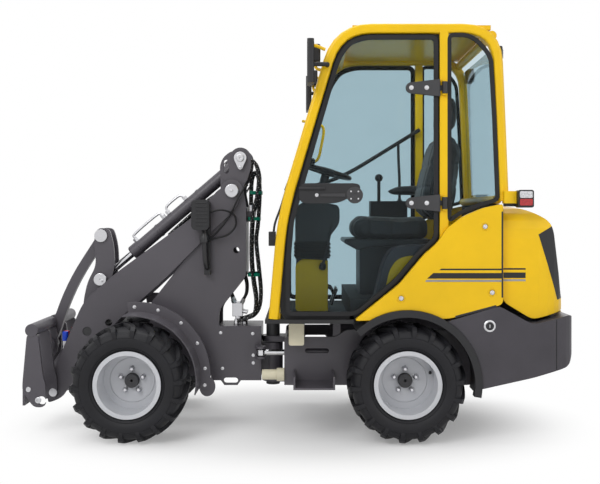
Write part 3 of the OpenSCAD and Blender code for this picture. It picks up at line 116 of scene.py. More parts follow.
def round_edges(tree, radius):
    edge = tree.nodes.new("ShaderNodeBevel")
    edge.samples = 4
    edge.inputs["Radius"].default_value = radius
    return edge


def bumped(tree, bsdf, source, out, strength, distance, edge=None):
    bump = tree.nodes.new("ShaderNodeBump")
    preset(bump, {"Strength": strength, "Distance": distance})
    link(tree, source, out, bump, "Height")
    if edge:
        link(tree, edge, "Normal", bump, "Normal")
    link(tree, bump, "Normal", bsdf, "Normal")


def edge_wear_and_highlight(tree, edge, colour_node, out, wear_and_highlight, amount):
    """Mixes a lighter colour in where the rounded edge departs from the flat face: partly wear, partly a
    painted highlight along the edges.
    """
    geometry = tree.nodes.new("ShaderNodeNewGeometry")
    dot = tree.nodes.new("ShaderNodeVectorMath")
    dot.operation = "DOT_PRODUCT"
    link(tree, edge, "Normal", dot, 0)
    link(tree, geometry, "Normal", dot, 1)
    grit = noise(tree, 38.0, 6.0, 0.7)
    limit = spread(tree, dot, "Value", amount, 0.0)
    preset(limit, {"From Min": 0.72, "From Max": 0.97})
    patch = ramp(tree, grit, "Fac", 0.46, 0.62, (0, 0, 0), (1, 1, 1))
    both = tree.nodes.new("ShaderNodeMath")
    both.operation = "MULTIPLY"
    link(tree, limit, "Result", both, 0)
    link(tree, patch, "Color", both, 1)
    mix = tree.nodes.new("ShaderNodeMixRGB")
    mix.inputs["Color2"].default_value = (*wear_and_highlight, 1)
    link(tree, both, "Value", mix, "Fac")
    link(tree, colour_node, out, mix, "Color1")
    return mix


def paint(name, colour, rough, coat, wear_and_highlight=None, radius=0.004, peel=0.05, vary=0.07, shine=0.5):
    material, tree, bsdf = shader(name)
    cloud = noise(tree, 2.6, 5.0, 0.6)
    tone = ramp(tree, cloud, "Fac", 0.3, 0.7, scaled(colour, 1 - vary), scaled(colour, 1 + vary))
    edge = round_edges(tree, radius)
    # Lighter edges where a colour is given: partly wear, partly a painted highlight
    if wear_and_highlight:
        tone = edge_wear_and_highlight(tree, edge, tone, "Color", wear_and_highlight, 0.7)
    link(tree, tone, "Color", bsdf, "Base Color")
    glossed(tree, bsdf, noise(tree, 9.0, 6.0, 0.7), rough - 0.06, rough + 0.08)
    grain = noise(tree, 420.0, 2.0)
    bumped(tree, bsdf, grain, "Fac", peel, 0.0006, edge)
    preset(bsdf, {"Coat Weight": coat, "Coat Roughness": 0.12, "Specular IOR Level": shine})
    return material


def plastic(name, colour, rough, grain_scale=700.0, strength=0.18, radius=0.003):
    material, tree, bsdf = shader(name)
    toned(tree, bsdf, noise(tree, 6.0), "Fac", 0.3, 0.7, scaled(colour, 0.88), scaled(colour, 1.12))
    glossed(tree, bsdf, noise(tree, 14.0), rough - 0.07, rough + 0.07)
    grain = noise(tree, grain_scale, 3.0)
    bumped(tree, bsdf, grain, "Fac", strength, 0.0005, round_edges(tree, radius))
    bsdf.inputs["Specular IOR Level"].default_value = 0.4
    return material


def metal(name, colour, rough, scratch=0.1, stretch=(1, 1, 30)):
    material, tree, bsdf = shader(name)
    lines = noise(tree, 60.0, 4.0, 0.5, stretch)
    toned(tree, bsdf, lines, "Fac", 0.25, 0.75, scaled(colour, 0.88), scaled(colour, 1.08))
    glossed(tree, bsdf, lines, rough - 0.06, rough + 0.1)
    bumped(tree, bsdf, lines, "Fac", scratch, 0.0003, round_edges(tree, 0.002))
    bsdf.inputs["Metallic"].default_value = 1.0
    return material


def rubber(name, colour, dust, amount):
    material, tree, bsdf = shader(name)
    cloud = noise(tree, 12.0, 8.0, 0.65)
    tone = ramp(tree, cloud, "Fac", 0.35, 0.75, colour, scaled(colour, 1.9))
    film = noise(tree, 5.0, 6.0, 0.7)
    film_amount = spread(tree, film, "Fac", 0.0, amount)
    mix = tree.nodes.new("ShaderNodeMixRGB")
    mix.inputs["Color2"].default_value = (*dust, 1)
    link(tree, film_amount, "Result", mix, "Fac")
    link(tree, tone, "Color", mix, "Color1")
    link(tree, mix, "Color", bsdf, "Base Color")
    glossed(tree, bsdf, cloud, 0.42, 0.66)
    grain = noise(tree, 260.0, 4.0, 0.7)
    bumped(tree, bsdf, grain, "Fac", 0.22, 0.0008)
    bsdf.inputs["Specular IOR Level"].default_value = 0.28
    return material


def hide(name, colour):
    """Upholstery: fine grain of cells with a soft sheen."""
    material, tree, bsdf = shader(name)
    cloud = noise(tree, 5.0)
    toned(tree, bsdf, cloud, "Fac", 0.3, 0.7, scaled(colour, 0.8), scaled(colour, 1.25))
    bumped(tree, bsdf, texture(tree, "ShaderNodeTexVoronoi", 420.0), "Distance", 0.14, 0.0008)
    glossed(tree, bsdf, cloud, 0.5, 0.64)
    bsdf.inputs["Sheen Weight"].default_value = 0.15
    return material


def glass(name, colour):
    """Tinted pane: clear to look through, with a faint film of dust."""
    material, tree, bsdf = shader(name)
    film = noise(tree, 3.0, 5.0, 0.6)
    glossed(tree, bsdf, film, 0.0, 0.02)
    toned(tree, bsdf, film, "Fac", 0.2, 0.8, scaled(colour, 0.98), scaled(colour, 1.02))
    preset(bsdf, {"Transmission Weight": 1.0, "IOR": 1.2})
    return material


def lens(name, colour):
    material, tree, bsdf = shader(name)
    cells = texture(tree, "ShaderNodeTexVoronoi", 130.0)
    toned(tree, bsdf, cells, "Distance", 0.0, 0.8, scaled(colour, 1.1), scaled(colour, 0.7))
    bumped(tree, bsdf, cells, "Distance", 0.5, 0.001)
    preset(bsdf, {"Roughness": 0.12, "Coat Weight": 0.6})
    return material


YELLOW = (0.86, 0.53, 0.003)
GREY = (0.072, 0.066, 0.078)
M = {
    "yellow": paint("yellow_enamel", YELLOW, 0.34, 0.12, radius=0.006, shine=0.3),
    "grey": paint("anthracite_enamel", GREY, 0.44, 0.12, radius=0.003, peel=0.12),
    # The carrier and steps get lighter edges: partly wear, partly a painted highlight
    "worn_highlit": paint("anthracite_worn_highlit", GREY, 0.46, 0.05, wear_and_highlight=(0.25, 0.24, 0.23), radius=0.004),
    "weight": plastic("counterweight_enamel", (0.05, 0.046, 0.055), 0.48, 300.0, 0.25, 0.008),
    "rim": paint("rim_silver", (0.56, 0.57, 0.6), 0.36, 0.2, radius=0.003, vary=0.05),
    "tyre": rubber("tyre_rubber", (0.006, 0.006, 0.0078), (0.04, 0.04, 0.042), 0.16),
    "rubber": rubber("black_rubber", (0.008, 0.008, 0.009), (0.03, 0.03, 0.03), 0.2),
    "cast": plastic("dark_casting", (0.035, 0.035, 0.037), 0.55, 220.0, 0.4, 0.004),
    "bright": metal("plated_steel", (0.58, 0.58, 0.6), 0.3),
    "zinc": metal("zinc_bolts", (0.66, 0.66, 0.68), 0.34, 0.15, (4, 4, 4)),
    "chrome": metal("hard_chrome", (0.66, 0.66, 0.68), 0.12, 0.03),
    "glass": glass("tinted_glass", (0.57, 0.68, 0.72)),
    "black": plastic("black_moulding", (0.014, 0.014, 0.016), 0.46, 600.0, 0.08),
    "satin": plastic("black_satin", (0.018, 0.018, 0.02), 0.34, 500.0, 0.06),
    "dark": plastic("grey_moulding", (0.04, 0.04, 0.043), 0.5, 600.0, 0.07),
    "cream": plastic("cream_moulding", (0.72, 0.67, 0.5), 0.42, 300.0, 0.05),
    "hide": hide("seat_cover", (0.02, 0.02, 0.023)),
    "red": plastic("red_cap", (0.55, 0.012, 0.012), 0.34),
    "blue": plastic("blue_cap", (0.01, 0.06, 0.55), 0.34),
    "green": plastic("green_tie", (0.0, 0.2, 0.12), 0.4),
    "tail": lens("red_lens", (0.5, 0.008, 0.01)),
    "clear": lens("clear_lens", (0.75, 0.76, 0.78)),
    "mirror": metal("mirror_face", (0.8, 0.82, 0.84), 0.06, 0.0),
    "decal": plastic("stripe_black", (0.012, 0.012, 0.013), 0.3, 500.0, 0.02),
    "silver": paint("stripe_grey", (0.3, 0.3, 0.32), 0.34, 0.2),
    "bead": plastic("guard_bead", (0.5, 0.5, 0.48), 0.5),
    "mat": plastic("floor_mat", (0.02, 0.02, 0.021), 0.7, 160.0, 0.5),
}

# Places of the wheels: front and rear axle, height, and the middle plane of each side
AXLE_X = {"front": 0.838, "rear": -0.562}
AXLE_Z = 0.3
WHEEL_Y = 0.4075
CORNERS = ("front_left", "front_right", "rear_left", "rear_right")
BOTH = (1, -1)

# The look of each solid that shows
LOOK = {
    "yellow": ["side_panels", "cab_frame", "hood"],
    "grey": ["front_frame", "mudguards", "boom", "rocker", "link", "tilt_barrel", "lift_barrels",
             "rear_frame", "steer_barrel"],
    "worn_highlit": ["carrier", "cab_steps"],
    "weight": ["counterweight"],
    "rim": ["rim_" + corner for corner in CORNERS],
    "tyre": ["tyre_" + corner for corner in CORNERS],
    "cast": ["front_axle", "rear_axle", "engine_block", "pivot_pins", "rocker_pin"],
    "bright": ["link_pin", "carrier_pin", "couplers"],
    "chrome": ["tilt_rod", "lift_rods", "steer_rod"],
    "glass": ["cab_glass", "door_glass"],
    "black": ["rear_fenders", "tower_lamps", "hood_grille", "mirrors", "rear_lamps", "control_levers"],
    "satin": ["door_fittings", "cab_rails", "steering_wheel"],
    "rubber": ["tower_hoses", "door_seal"],
    "dark": ["console", "seat_base"],
    "mat": ["cab_floor"],
    "hide": ["seat_pad"],
    "cream": ["washer_tank", "oil_filter"],
}
for look, names in LOOK.items():
    for n in names:
        mesh = nodes[n].data
        mesh.materials.clear()
        mesh.materials.append(M[look])


# Mesh helpers, all lengths in metres


def piece(name, bm, look, body, sharp, bevel=0.0, segments=2):
    """Makes a piece of the scene: smooth up to a sharp angle, with soft edges where a bevel is given."""
    bmesh.ops.recalc_face_normals(bm, faces=bm.faces)
    mesh = bpy.data.meshes.new(name)
    bm.to_mesh(mesh)
    bm.free()
    obj = bpy.data.objects.new(name, mesh)
    scene.collection.objects.link(obj)
    mesh.materials.append(M[look])
    for p in mesh.polygons:
        p.use_smooth = True
    mesh.set_sharp_from_angle(angle=radians(sharp))
    if bevel:
        mod = obj.modifiers.new("edges", "BEVEL")
        mod.width = bevel
        mod.segments = segments
        mod.limit_method = "ANGLE"
        mod.angle_limit = radians(40)
        mod.harden_normals = True
    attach(obj, body)
    return obj


def skirt(bm, low, high):
    """Faces between two rings of as many points."""
    for i in range(len(low)):
        k = (i + 1) % len(low)
        bm.faces.new((low[i], low[k], high[k], high[i]))


def loft(bm, rings, closed=True):
    """Faces along a row of rings, with the two ends filled where it is closed."""
    for low, high in zip(rings, rings[1:]):
        skirt(bm, low, high)
    if closed:
        bm.faces.new(rings[0])
        bm.faces.new(rings[-1])


def around(x, z, r, degrees):
    """A point on a circle."""
    a = radians(degrees)
    return x + r * cos(a), z + r * sin(a)


def arc(x, z, r, start, end, count):
    """Points on a circle between two angles."""
    return [around(x, z, r, start + (end - start) * i / (count - 1)) for i in range(count)]


def frame_of(axis):
    """Matrix whose Z runs along an axis."""
    return Vector(axis).normalized().to_track_quat("Z", "Y").to_matrix().to_4x4()


def lathe(bm, profile, at, axis, sides=32, closed=True):
    """Turns a profile of (radius, height) about an axis."""
    turn = Matrix.Translation(at) @ frame_of(axis)
    rings = []
    for r, h in profile:
        ring = []
        for i in range(sides):
            a = 2 * pi * i / sides
            ring.append(bm.verts.new(turn @ Vector((r * cos(a), r * sin(a), h))))
        rings.append(ring)
    loft(bm, rings, closed)


def tube(bm, points, r, sides=12, radii=None):
    """A round tube along points, with the section carried without twist."""
    pts = [Vector(p) for p in points]
    count = len(pts)
    rings = []
    side = None
    for i in range(count):
        ahead = (pts[min(i + 1, count - 1)] - pts[max(i - 1, 0)]).normalized()
        if side is None:
            side = ahead.orthogonal().normalized()
        side = (side - ahead * side.dot(ahead)).normalized()
        up = ahead.cross(side)
        size = radii[i] if radii else r
        ring = []
        for k in range(sides):
            a = 2 * pi * k / sides
            ring.append(bm.verts.new(pts[i] + side * (size * cos(a)) + up * (size * sin(a))))
        rings.append(ring)
    loft(bm, rings)


def smooth_path(points, steps=8):
    """Points of a smooth curve through the given points."""
    pts = [Vector(p) for p in points]
    out = []
    last = len(pts) - 1
    for i in range(last):
        a = pts[max(i - 1, 0)]
        b = pts[i]
        c = pts[i + 1]
        d = pts[min(i + 2, last)]
        for k in range(steps):
            t = k / steps
            bend = 2 * a - 5 * b + 4 * c - d
            swing = 3 * b - a - 3 * c + d
            out.append(0.5 * (2 * b + (c - a) * t + bend * t * t + swing * t ** 3))
    out.append(pts[-1])
    return out


def pipe(bm, points, r, sides=12, steps=6):
    """A round tube along a smooth curve through the given points."""
    tube(bm, smooth_path(points, steps), r, sides)


def even(points, step):
    """The same path with points a given step apart."""
    pts = [Vector(p) for p in points]
    out = [pts[0]]
    left = step
    for a, b in zip(pts, pts[1:]):
        gone = 0.0
        length = (b - a).length
        while length - gone >= left:
            gone += left
            out.append(a.lerp(b, gone / length))
            left = step
        left -= length - gone
    return out


GUARD_PITCH = 0.009
BEAD_PITCH = 0.0115
BEAD_TURN = 1.1
BEAD_LONG = 0.0022
BEAD_WIDE = 0.0032
BEAD_SUNK = 0.0006
BEAD_HIGH = 0.0016


def ribbed(bm, points, r):
    """A hose in a spiral guard: its radius swells and shrinks along the way."""
    path = even(smooth_path(points, 12), GUARD_PITCH / 2)
    radii = [r if i % 2 else r * 0.86 for i in range(len(path))]
    tube(bm, path, r, 10, radii)


def beads(bm, points, r):
    """Pale marks that wind along a guarded hose."""
    path = even(smooth_path(points, 12), BEAD_PITCH)
    across_all = Vector((0, 1, 0))
    for i in range(1, len(path) - 1):
        ahead = (path[i + 1] - path[i - 1]).normalized()
        side = ahead.cross(across_all).normalized()
        for turn in (0.0, pi):
            a = i * BEAD_TURN + turn
            out = side * cos(a) + across_all * sin(a)
            across = ahead.cross(out)
            at = path[i] + out * (r - BEAD_SUNK)
            rim = []
            for n in range(6):
                k = pi * n / 3
                spot = at + ahead * (BEAD_LONG * cos(k)) + across * (BEAD_WIDE * sin(k))
                rim.append(bm.verts.new(spot))
            fan(bm, rim, at + out * BEAD_HIGH)


def fan(bm, rim, top):
    """Faces from a ring to one point above it."""
    point = bm.verts.new(top)
    for i in range(len(rim)):
        bm.faces.new((rim[i], rim[(i + 1) % len(rim)], point))


def plate(bm, outline, y_low, y_high):
    """A flat outline in the XZ plane given a thickness."""
    loft(bm, [[bm.verts.new((x, y, z)) for x, z in outline] for y in (y_low, y_high)])


def offset(outline, way):
    """A closed outline moved outwards by a way, or inwards where it is negative."""
    n = len(outline)
    pts = [Vector(q) for q in outline]
    turn = 1 if sum(pts[i - 1].cross(pts[i]) for i in range(n)) > 0 else -1
    out = []
    for i in range(n):
        ahead = (pts[(i + 1) % n] - pts[i - 1]).normalized()
        out.append((pts[i].x + ahead.y * way * turn, pts[i].y - ahead.x * way * turn))
    return out


def band(bm, outline, inner, outer, y_low, y_high):
    """A flat band along a closed outline in the XZ plane, given a thickness."""
    loops = []
    for way, y in ((outer, y_low), (outer, y_high), (inner, y_high), (inner, y_low)):
        loops.append([bm.verts.new((x, y, z)) for x, z in offset(outline, way)])
    loft(bm, loops + loops[:1], False)


def holed_plate(bm, outline, hole, y_low, y_high):
    """A flat outline with a hole in it, given a thickness."""
    edges = []
    for loop in (outline, hole):
        verts = [bm.verts.new((x, y_low, z)) for x, z in loop]
        edges += [bm.edges.new((verts[i - 1], verts[i])) for i in range(len(verts))]
    made = bmesh.ops.triangle_fill(bm, use_beauty=True, use_dissolve=False, edges=edges)
    faces = [g for g in made["geom"] if isinstance(g, bmesh.types.BMFace)]
    raised = bmesh.ops.extrude_face_region(bm, geom=faces, use_keep_orig=True)
    for g in raised["geom"]:
        if isinstance(g, bmesh.types.BMVert):
            g.co.y = y_high


def box(bm, low, high):
    """A box between two corners, to be given soft edges later."""
    corners = []
    for x in (low[0], high[0]):
        for y in (low[1], high[1]):
            for z in (low[2], high[2]):
                corners.append(bm.verts.new((x, y, z)))
    for f in ((0, 1, 3, 2), (4, 6, 7, 5), (0, 4, 5, 1), (2, 3, 7, 6), (0, 2, 6, 4), (1, 5, 7, 3)):
        bm.faces.new([corners[i] for i in f])


def bolt(bm, at, axis, r=0.008, washer=1.5):
    """A hexagon head on a washer, with a turned chamfer."""
    lathe(bm, [(r * washer, 0), (r * washer, r * 0.22), (r * 0.5, r * 0.24)], at, axis, 20)
    lathe(bm, [(r, r * 0.2), (r, r * 0.75), (r * 0.86, r * 0.95)], at, axis, 6)


def soft_ring(outline, cut, steps=5):
    """The corners of a closed outline rounded off."""
    out = []
    n = len(outline)
    for i in range(n):
        a = Vector(outline[i - 1])
        p = Vector(outline[i])
        b = Vector(outline[(i + 1) % n])
        ca = min(cut, (a - p).length * 0.48)
        cb = min(cut, (b - p).length * 0.48)
        s = p + (a - p).normalized() * ca
        e = p + (b - p).normalized() * cb
        for k in range(steps + 1):
            t = k / steps
            q = s * (1 - t) ** 2 + p * 2 * t * (1 - t) + e * t * t
            out.append((q.x, q.y))
    return out


def rounded(x_low, z_low, x_high, z_high, cut):
    """A rectangle with rounded corners."""
    return soft_ring([(x_low, z_low), (x_high, z_low), (x_high, z_high), (x_low, z_high)], cut)


def beside(node):
    """Finds the outer skin of a node: a function of place, height and side that gives its y."""
    obj = nodes[node]
    tree = BVHTree.FromPolygons([v.co for v in obj.data.vertices], [f.vertices for f in obj.data.polygons])

    def find(x, z, side):
        hit = tree.ray_cast(Vector((x, side * 2.0, z)), Vector((0, -side, 0)))
        return hit[0].y if hit[0] else None

    return find


def laid_strip(bm, find, upper, lower, side, lift=0.0006, steps=24):
    """A thin strip that lies on a skin between two rows of places in the XZ plane."""
    rows = []
    for row in (upper, lower):
        path = even([(x, 0, z) for x, z in row], 0.004)
        picks = [path[round(i * (len(path) - 1) / steps)] for i in range(steps + 1)]
        rows.append([bm.verts.new((q.x, find(q.x, q.z, side) + side * lift, q.z)) for q in picks])
    for i in range(steps):
        bm.faces.new((rows[0][i], rows[0][i + 1], rows[1][i + 1], rows[1][i]))


# Wheels: the tyre with its staggered bars, and what is bolted to the rim

TYRE_R = 0.3
TYRE_HALF = 0.1325
BAR_COUNT = 18
FIRST_BAR = pi / 2 - 0.095
# Raised rings on the sidewalls: radius and place across, and their own half width and height
WALL_RINGS = ((0.187, 0.1215), (0.238, 0.1308))
RING_HALF = 0.003
RING_HIGH = 0.0009
# Section of the tyre without its bars: radius and place across
CARCASS = [
    (0.1565, 0.098), (0.166, 0.101), (0.172, 0.106), (0.182, 0.1165), (0.2, 0.1275), (0.222, 0.1315),
    (0.244, 0.1285), (0.26, 0.12), (0.27, 0.108), (0.2765, 0.086), (0.2795, 0.05), (0.2805, 0.0),
]


def skin(y):
    """Outer radius over the bars at a place across the tyre."""
    return TYRE_R - 0.0005 - 0.011 * (abs(y) / TYRE_HALF) ** 2.4


def tyre(corner, x, side):
    bm = bmesh.new()
    profile = CARCASS + [(r, -y) for r, y in reversed(CARCASS[:-1])]
    at = Vector((x, side * WHEEL_Y, AXLE_Z))
    rings = [profile, [profile[0], profile[-1]]]
    for s in BOTH:
        for r, w in WALL_RINGS:
            low = s * (w - RING_HALF)
            rings.append([(r - RING_HALF, low), (r, s * (w + RING_HIGH)), (r + RING_HALF, low)])
    for ring in rings:
        lathe(bm, ring, at, (0, 1, 0), 96, False)
    step = 2 * pi / BAR_COUNT
    for s in BOTH:
        for i in range(BAR_COUNT):
            shift = 0.0 if s > 0 else 0.5
            bar(bm, at, s, FIRST_BAR - step * (i + shift))
    bmesh.ops.remove_doubles(bm, verts=bm.verts, dist=0.00002)
    obj = piece("tyre_" + corner, bm, "tyre", "wheel_" + corner, 38)
    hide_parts("tyre_" + corner)


def bar(bm, at, s, start):
    """One tread bar, from the middle of the tread out over the shoulder."""
    # Place across, angle along the tread, drop below the skin, half width
    spots = [
        (-0.008, 0.0, 0.0, 0.0145), (0.02, 0.055, 0.0, 0.014), (0.05, 0.113, 0.0, 0.0138),
        (0.0715, 0.155, 0.0005, 0.0135), (0.092, 0.181, 0.001, 0.013), (0.111, 0.2047, 0.003, 0.012),
        (0.1285, 0.207, 0.014, 0.0112), (0.1318, 0.208, 0.034, 0.0102), (0.1322, 0.208, 0.05, 0.0085),
    ]
    rings = []
    for y, turn, drop, half in spots:
        r_top = skin(min(y, TYRE_HALF)) - drop
        r_low = min(r_top - 0.004, 0.274) if y < 0.12 else r_top - 0.03
        y_low = y if y < 0.1 else y - 0.016
        ring = []
        for r, w, across in ((r_low, half * 1.45, y_low), (r_top, half, y), (r_top, -half, y),
                             (r_low, -half * 1.45, y_low)):
            a = start + turn + w / r
            ring.append(bm.verts.new(at + Vector((r * cos(a), s * across, r * sin(a)))))
        rings.append(ring)
    loft(bm, rings)


DISC_INSET = 0.03535
DISC_THICK = 0.0085
NUT_COUNT = 5
NUT_CIRCLE = 0.059


def rim_trim(corner, x, side):
    """Bolted disc, nuts, hub cap and valve of a wheel, with a painted shade ring round the disc."""
    disc = side * (WHEEL_Y - DISC_INSET)
    out = (0, side, 0)
    hub = (x, disc, AXLE_Z)
    body = "wheel_" + corner
    bm = bmesh.new()
    lathe(bm, [(0.1165, 0.0006), (0.1165, 0.006), (0.113, DISC_THICK), (0.04, DISC_THICK),
               (0.036, 0.0075)], hub, out, 64)
    piece("wheel_disc_" + corner, bm, "rim", body, 30)
    bm = bmesh.new()
    face = disc + side * DISC_THICK
    for i in range(NUT_COUNT):
        a = 2 * pi * i / NUT_COUNT
        spot = (x + NUT_CIRCLE * sin(a), face, AXLE_Z + NUT_CIRCLE * cos(a))
        lathe(bm, [(0.0145, 0.001), (0.0145, 0.004), (0.011, 0.006)], spot, out, 20)
        lathe(bm, [(0.0135, 0.004), (0.0135, 0.015), (0.0105, 0.018)], spot, out, 6)
        lathe(bm, [(0.0095, 0.015), (0.0095, 0.0235), (0.007, 0.026), (0.003, 0.0265)], spot, out, 16)
    piece("rim_nuts_" + corner, bm, "zinc", body, 30)
    bm = bmesh.new()
    lathe(bm, [(0.037, 0.002), (0.037, 0.03), (0.034, 0.0355), (0.01, 0.0365), (0.006, 0.034),
               (0.001, 0.034)], hub, out, 40)
    # A thin dark ring round the disc's edge: painted shade of the gap between the disc and the rim's well
    lathe(bm, [(0.1235, 0.0004), (0.1235, 0.0009), (0.1155, 0.0009), (0.1155, 0.0004)], hub, out, 64, False)
    piece("hub_cap_and_shade_ring_" + corner, bm, "dark", body, 30)
    bm = bmesh.new()
    foot = Vector((x - 0.132, disc + side * 0.008, AXLE_Z + 0.04))
    tube(bm, [foot, foot + Vector((0, side * 0.02, 0)),
              foot + Vector((0.006, side * 0.034, 0.004))], 0.005, 10)
    lathe(bm, [(0.0075, 0), (0.0085, 0.006), (0.0085, 0.014), (0.006, 0.017)],
          foot + Vector((0.006, side * 0.03, 0.004)), (0.1, side, 0.05), 12)
    piece("valve_" + corner, bm, "rubber", body, 30)


for corner in CORNERS:
    end, hand = corner.split("_")
    side = 1 if hand == "left" else -1
    tyre(corner, AXLE_X[end], side)
    rim_trim(corner, AXLE_X[end], side)


# Front frame: pin caps, lamp, hoses, mudguard bolts

TILT_EYE = (0.302, 1.458)
ROCKER_EYE = (1.07932, 0.7913)
BOOM_AXIS = (0.347, 1.279)
TOWER_FACE = 0.12
RETAINER_FACE = 0.1425


def cap(bm, x, z, y, side, r, t, hole=0.005):
    """A round pin cap with a hole in its middle, on one side of the machine."""
    lathe(bm, [(r, 0), (r, t * 0.7), (r - t * 0.5, t), (hole, t), (hole, t * 0.4), (0.0005, t * 0.4)],
          (x, side * y, z), (0, side, 0), 40)


bm = bmesh.new()
for s in BOTH:
    outline = arc(*TILT_EYE, 0.034, -25, 205, 19)
    outline += [(0.283, 1.418), (0.291, 1.4), (0.302, 1.393), (0.313, 1.4), (0.321, 1.418)]
    plate(bm, outline, s * 0.1355, s * RETAINER_FACE)
    cap(bm, *TILT_EYE, RETAINER_FACE, s, 0.022, 0.009)
    bolt(bm, (TILT_EYE[0], s * RETAINER_FACE, 1.408), (0, s, 0), 0.006)
piece("tilt_pin_retainers", bm, "bright", "front_body", 30, 0.001)

# Rounded heads of the tower plates, with the slot for the hoses
bm = bmesh.new()
head = soft_ring([(0.4115, 1.352), (0.4147, 1.417), (0.3985, 1.46), (0.361, 1.492), (0.3014, 1.507),
                  (0.258, 1.49), (0.242, 1.443), (0.2475, 1.395), (0.269, 1.325), (0.33, 1.3)], 0.02)
slot = [(0.379 + 0.014 * cos(a), (1.436 if sin(a) >= 0 else 1.388) + 0.014 * sin(a))
        for a in [2 * pi * (i + 0.5) / 24 for i in range(24)]]
for s in BOTH:
    holed_plate(bm, head, slot, s * 0.1052, s * 0.1205)
piece("tower_heads", bm, "grey", "front_body", 30)

bm = bmesh.new()
for s in BOTH:
    for a in (88, 108, 130, 152, 174, 188):
        x, z = around(AXLE_X["front"], AXLE_Z, 0.362, a)
        bolt(bm, (x, s * 0.268, z), (0, s, 0), 0.0062)
    for x, z in ((0.232, 0.382), (0.232, 0.34), (0.235, 0.5), (0.41, 0.505), (0.4, 0.31)):
        bolt(bm, (x, s * TOWER_FACE, z), (0, s, 0), 0.006)
    bolt(bm, (0.478, s * TOWER_FACE, 0.86), (0, s, 0), 0.008)
piece("front_bolts", bm, "zinc", "front_body", 30)


def lamp(s, tag):
    """Finned work lamp with its lens to the front, on a swivel foot."""
    y = s * 0.204
    bm = bmesh.new()
    for k in range(7):
        z = 1.088 + 0.02 * k
        box(bm, (0.468, y - 0.0425, z), (0.53, y + 0.0425, z + 0.009))
    for k in range(5):
        yy = y - 0.03 + 0.015 * k
        box(bm, (0.4585, yy, 1.085), (0.474, yy + 0.005, 1.215))
    piece("lamp_fins_" + tag, bm, "black", "front_body", 30, 0.0015)
    bm = bmesh.new()
    ring = rounded(-0.036, 1.077, 0.036, 1.219, 0.02)
    fan(bm, [bm.verts.new((0.5545, y + a, b)) for a, b in ring], (0.5605, y, 1.148))
    piece("lamp_lens_" + tag, bm, "clear", "front_body", 60)
    bm = bmesh.new()
    pipe(bm, [(0.464, s * 0.2, 1.16), (0.40, s * 0.196, 1.175), (0.335, s * 0.17, 1.15),
              (0.325, s * 0.162, 1.09), (0.37, s * 0.16, 1.04), (0.44, s * 0.163, 1.02),
              (0.486, s * 0.172, 1.0)], 0.0052, 10, 8)
    pipe(bm, [(0.486, s * 0.172, 1.0), (0.42, s * 0.168, 1.06), (0.36, s * 0.168, 1.14),
              (0.31, s * 0.168, 1.24), (0.275, s * 0.15, 1.3), (0.262, s * 0.128, 1.31)], 0.005, 10, 8)
    piece("lamp_cable_" + tag, bm, "rubber", "front_body", 60)
    bm = bmesh.new()
    lathe(bm, [(0.026, 0), (0.026, 0.03), (0.014, 0.055), (0.012, 0.07)], (0.49, s * 0.19, 1.0),
          (0, 0, 1), 20)
    pipe(bm, [(0.49, s * 0.187, 1.03), (0.487, s * 0.187, 0.94), (0.482, s * 0.18, 0.885),
              (0.478, s * 0.155, 0.86), (0.478, s * 0.136, 0.858)], 0.015, 14)
    piece("lamp_foot_" + tag, bm, "satin", "front_body", 40)


lamp(1, "left")
lamp(-1, "right")

# Spiral guarded hoses behind the tower
HOSE_ROW = (-0.036, 0.0, 0.036)
bm = bmesh.new()
marks = bmesh.new()
for y in HOSE_ROW:
    run = [(0.251, y, 1.17), (0.251, y, 1.24), (0.247, y, 1.34), (0.228, y, 1.385), (0.207, y, 1.34),
           (0.203, y, 1.25), (0.212, y, 1.1), (0.222, y, 1.0), (0.207, y, 0.85), (0.196, y, 0.72),
           (0.205, y, 0.63), (0.235, y, 0.588), (0.275, y, 0.572), (0.286, y, 0.545)]
    ribbed(bm, run, 0.0105)
    beads(marks, run, 0.0105)
hoses = piece("hose_bundle", bm, "rubber", "front_body", 60)
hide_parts("tower_hoses")
bm = bmesh.new()
for s in BOTH:
    run = [(0.262, s * 0.07, 1.4), (0.252, s * 0.09, 1.44), (0.226, s * 0.096, 1.436),
           (0.206, s * 0.094, 1.36), (0.214, s * 0.09, 1.26), (0.236, s * 0.084, 1.16),
           (0.246, s * 0.078, 1.05), (0.247, s * 0.074, 0.9), (0.236, s * 0.07, 0.78),
           (0.222, s * 0.066, 0.68), (0.232, s * 0.062, 0.6), (0.27, s * 0.06, 0.575),
           (0.32, s * 0.06, 0.56), (0.33, s * 0.06, 0.543)]
    ribbed(bm, run, 0.0095)
    beads(marks, run, 0.0095)
piece("hose_pair", bm, "rubber", "front_body", 60)
piece("hose_marks", marks, "bead", "front_body", 30)

# Hoses from the tower's head to unions on the boom's axis, and on into the boom
HEAD_WAY = ((0.303, 1.405), (0.292, 1.368), (0.295, 1.327), (0.314, 1.294), (0.3306, 1.2863))
BOOM_WAY = ((0.3649, 1.2774), (0.4, 1.274), (0.458, 1.246), (0.515, 1.203), (0.575, 1.15),
            (0.637, 1.094), (0.7, 1.036))
for name, body, way in (("head", "front_body", HEAD_WAY), ("boom", "boom_body", BOOM_WAY)):
    bm = bmesh.new()
    marks = bmesh.new()
    for y in (0.066, 0.089, -0.066, -0.089):
        run = [(x, y, z) for x, z in way]
        ribbed(bm, run, 0.0092)
        beads(marks, run, 0.0092)
    piece(name + "_hoses", bm, "rubber", body, 60)
    piece(name + "_hose_marks", marks, "bead", body, 60)
bm = bmesh.new()
for s in BOTH:
    lathe(bm, [(0.02, 0), (0.024, 0.003), (0.024, 0.047), (0.02, 0.05)],
          (BOOM_AXIS[0], s * 0.0525, BOOM_AXIS[1]), (0, s, 0), 32)
piece("hose_unions", bm, "satin", "boom_body", 35)
bm = bmesh.new()
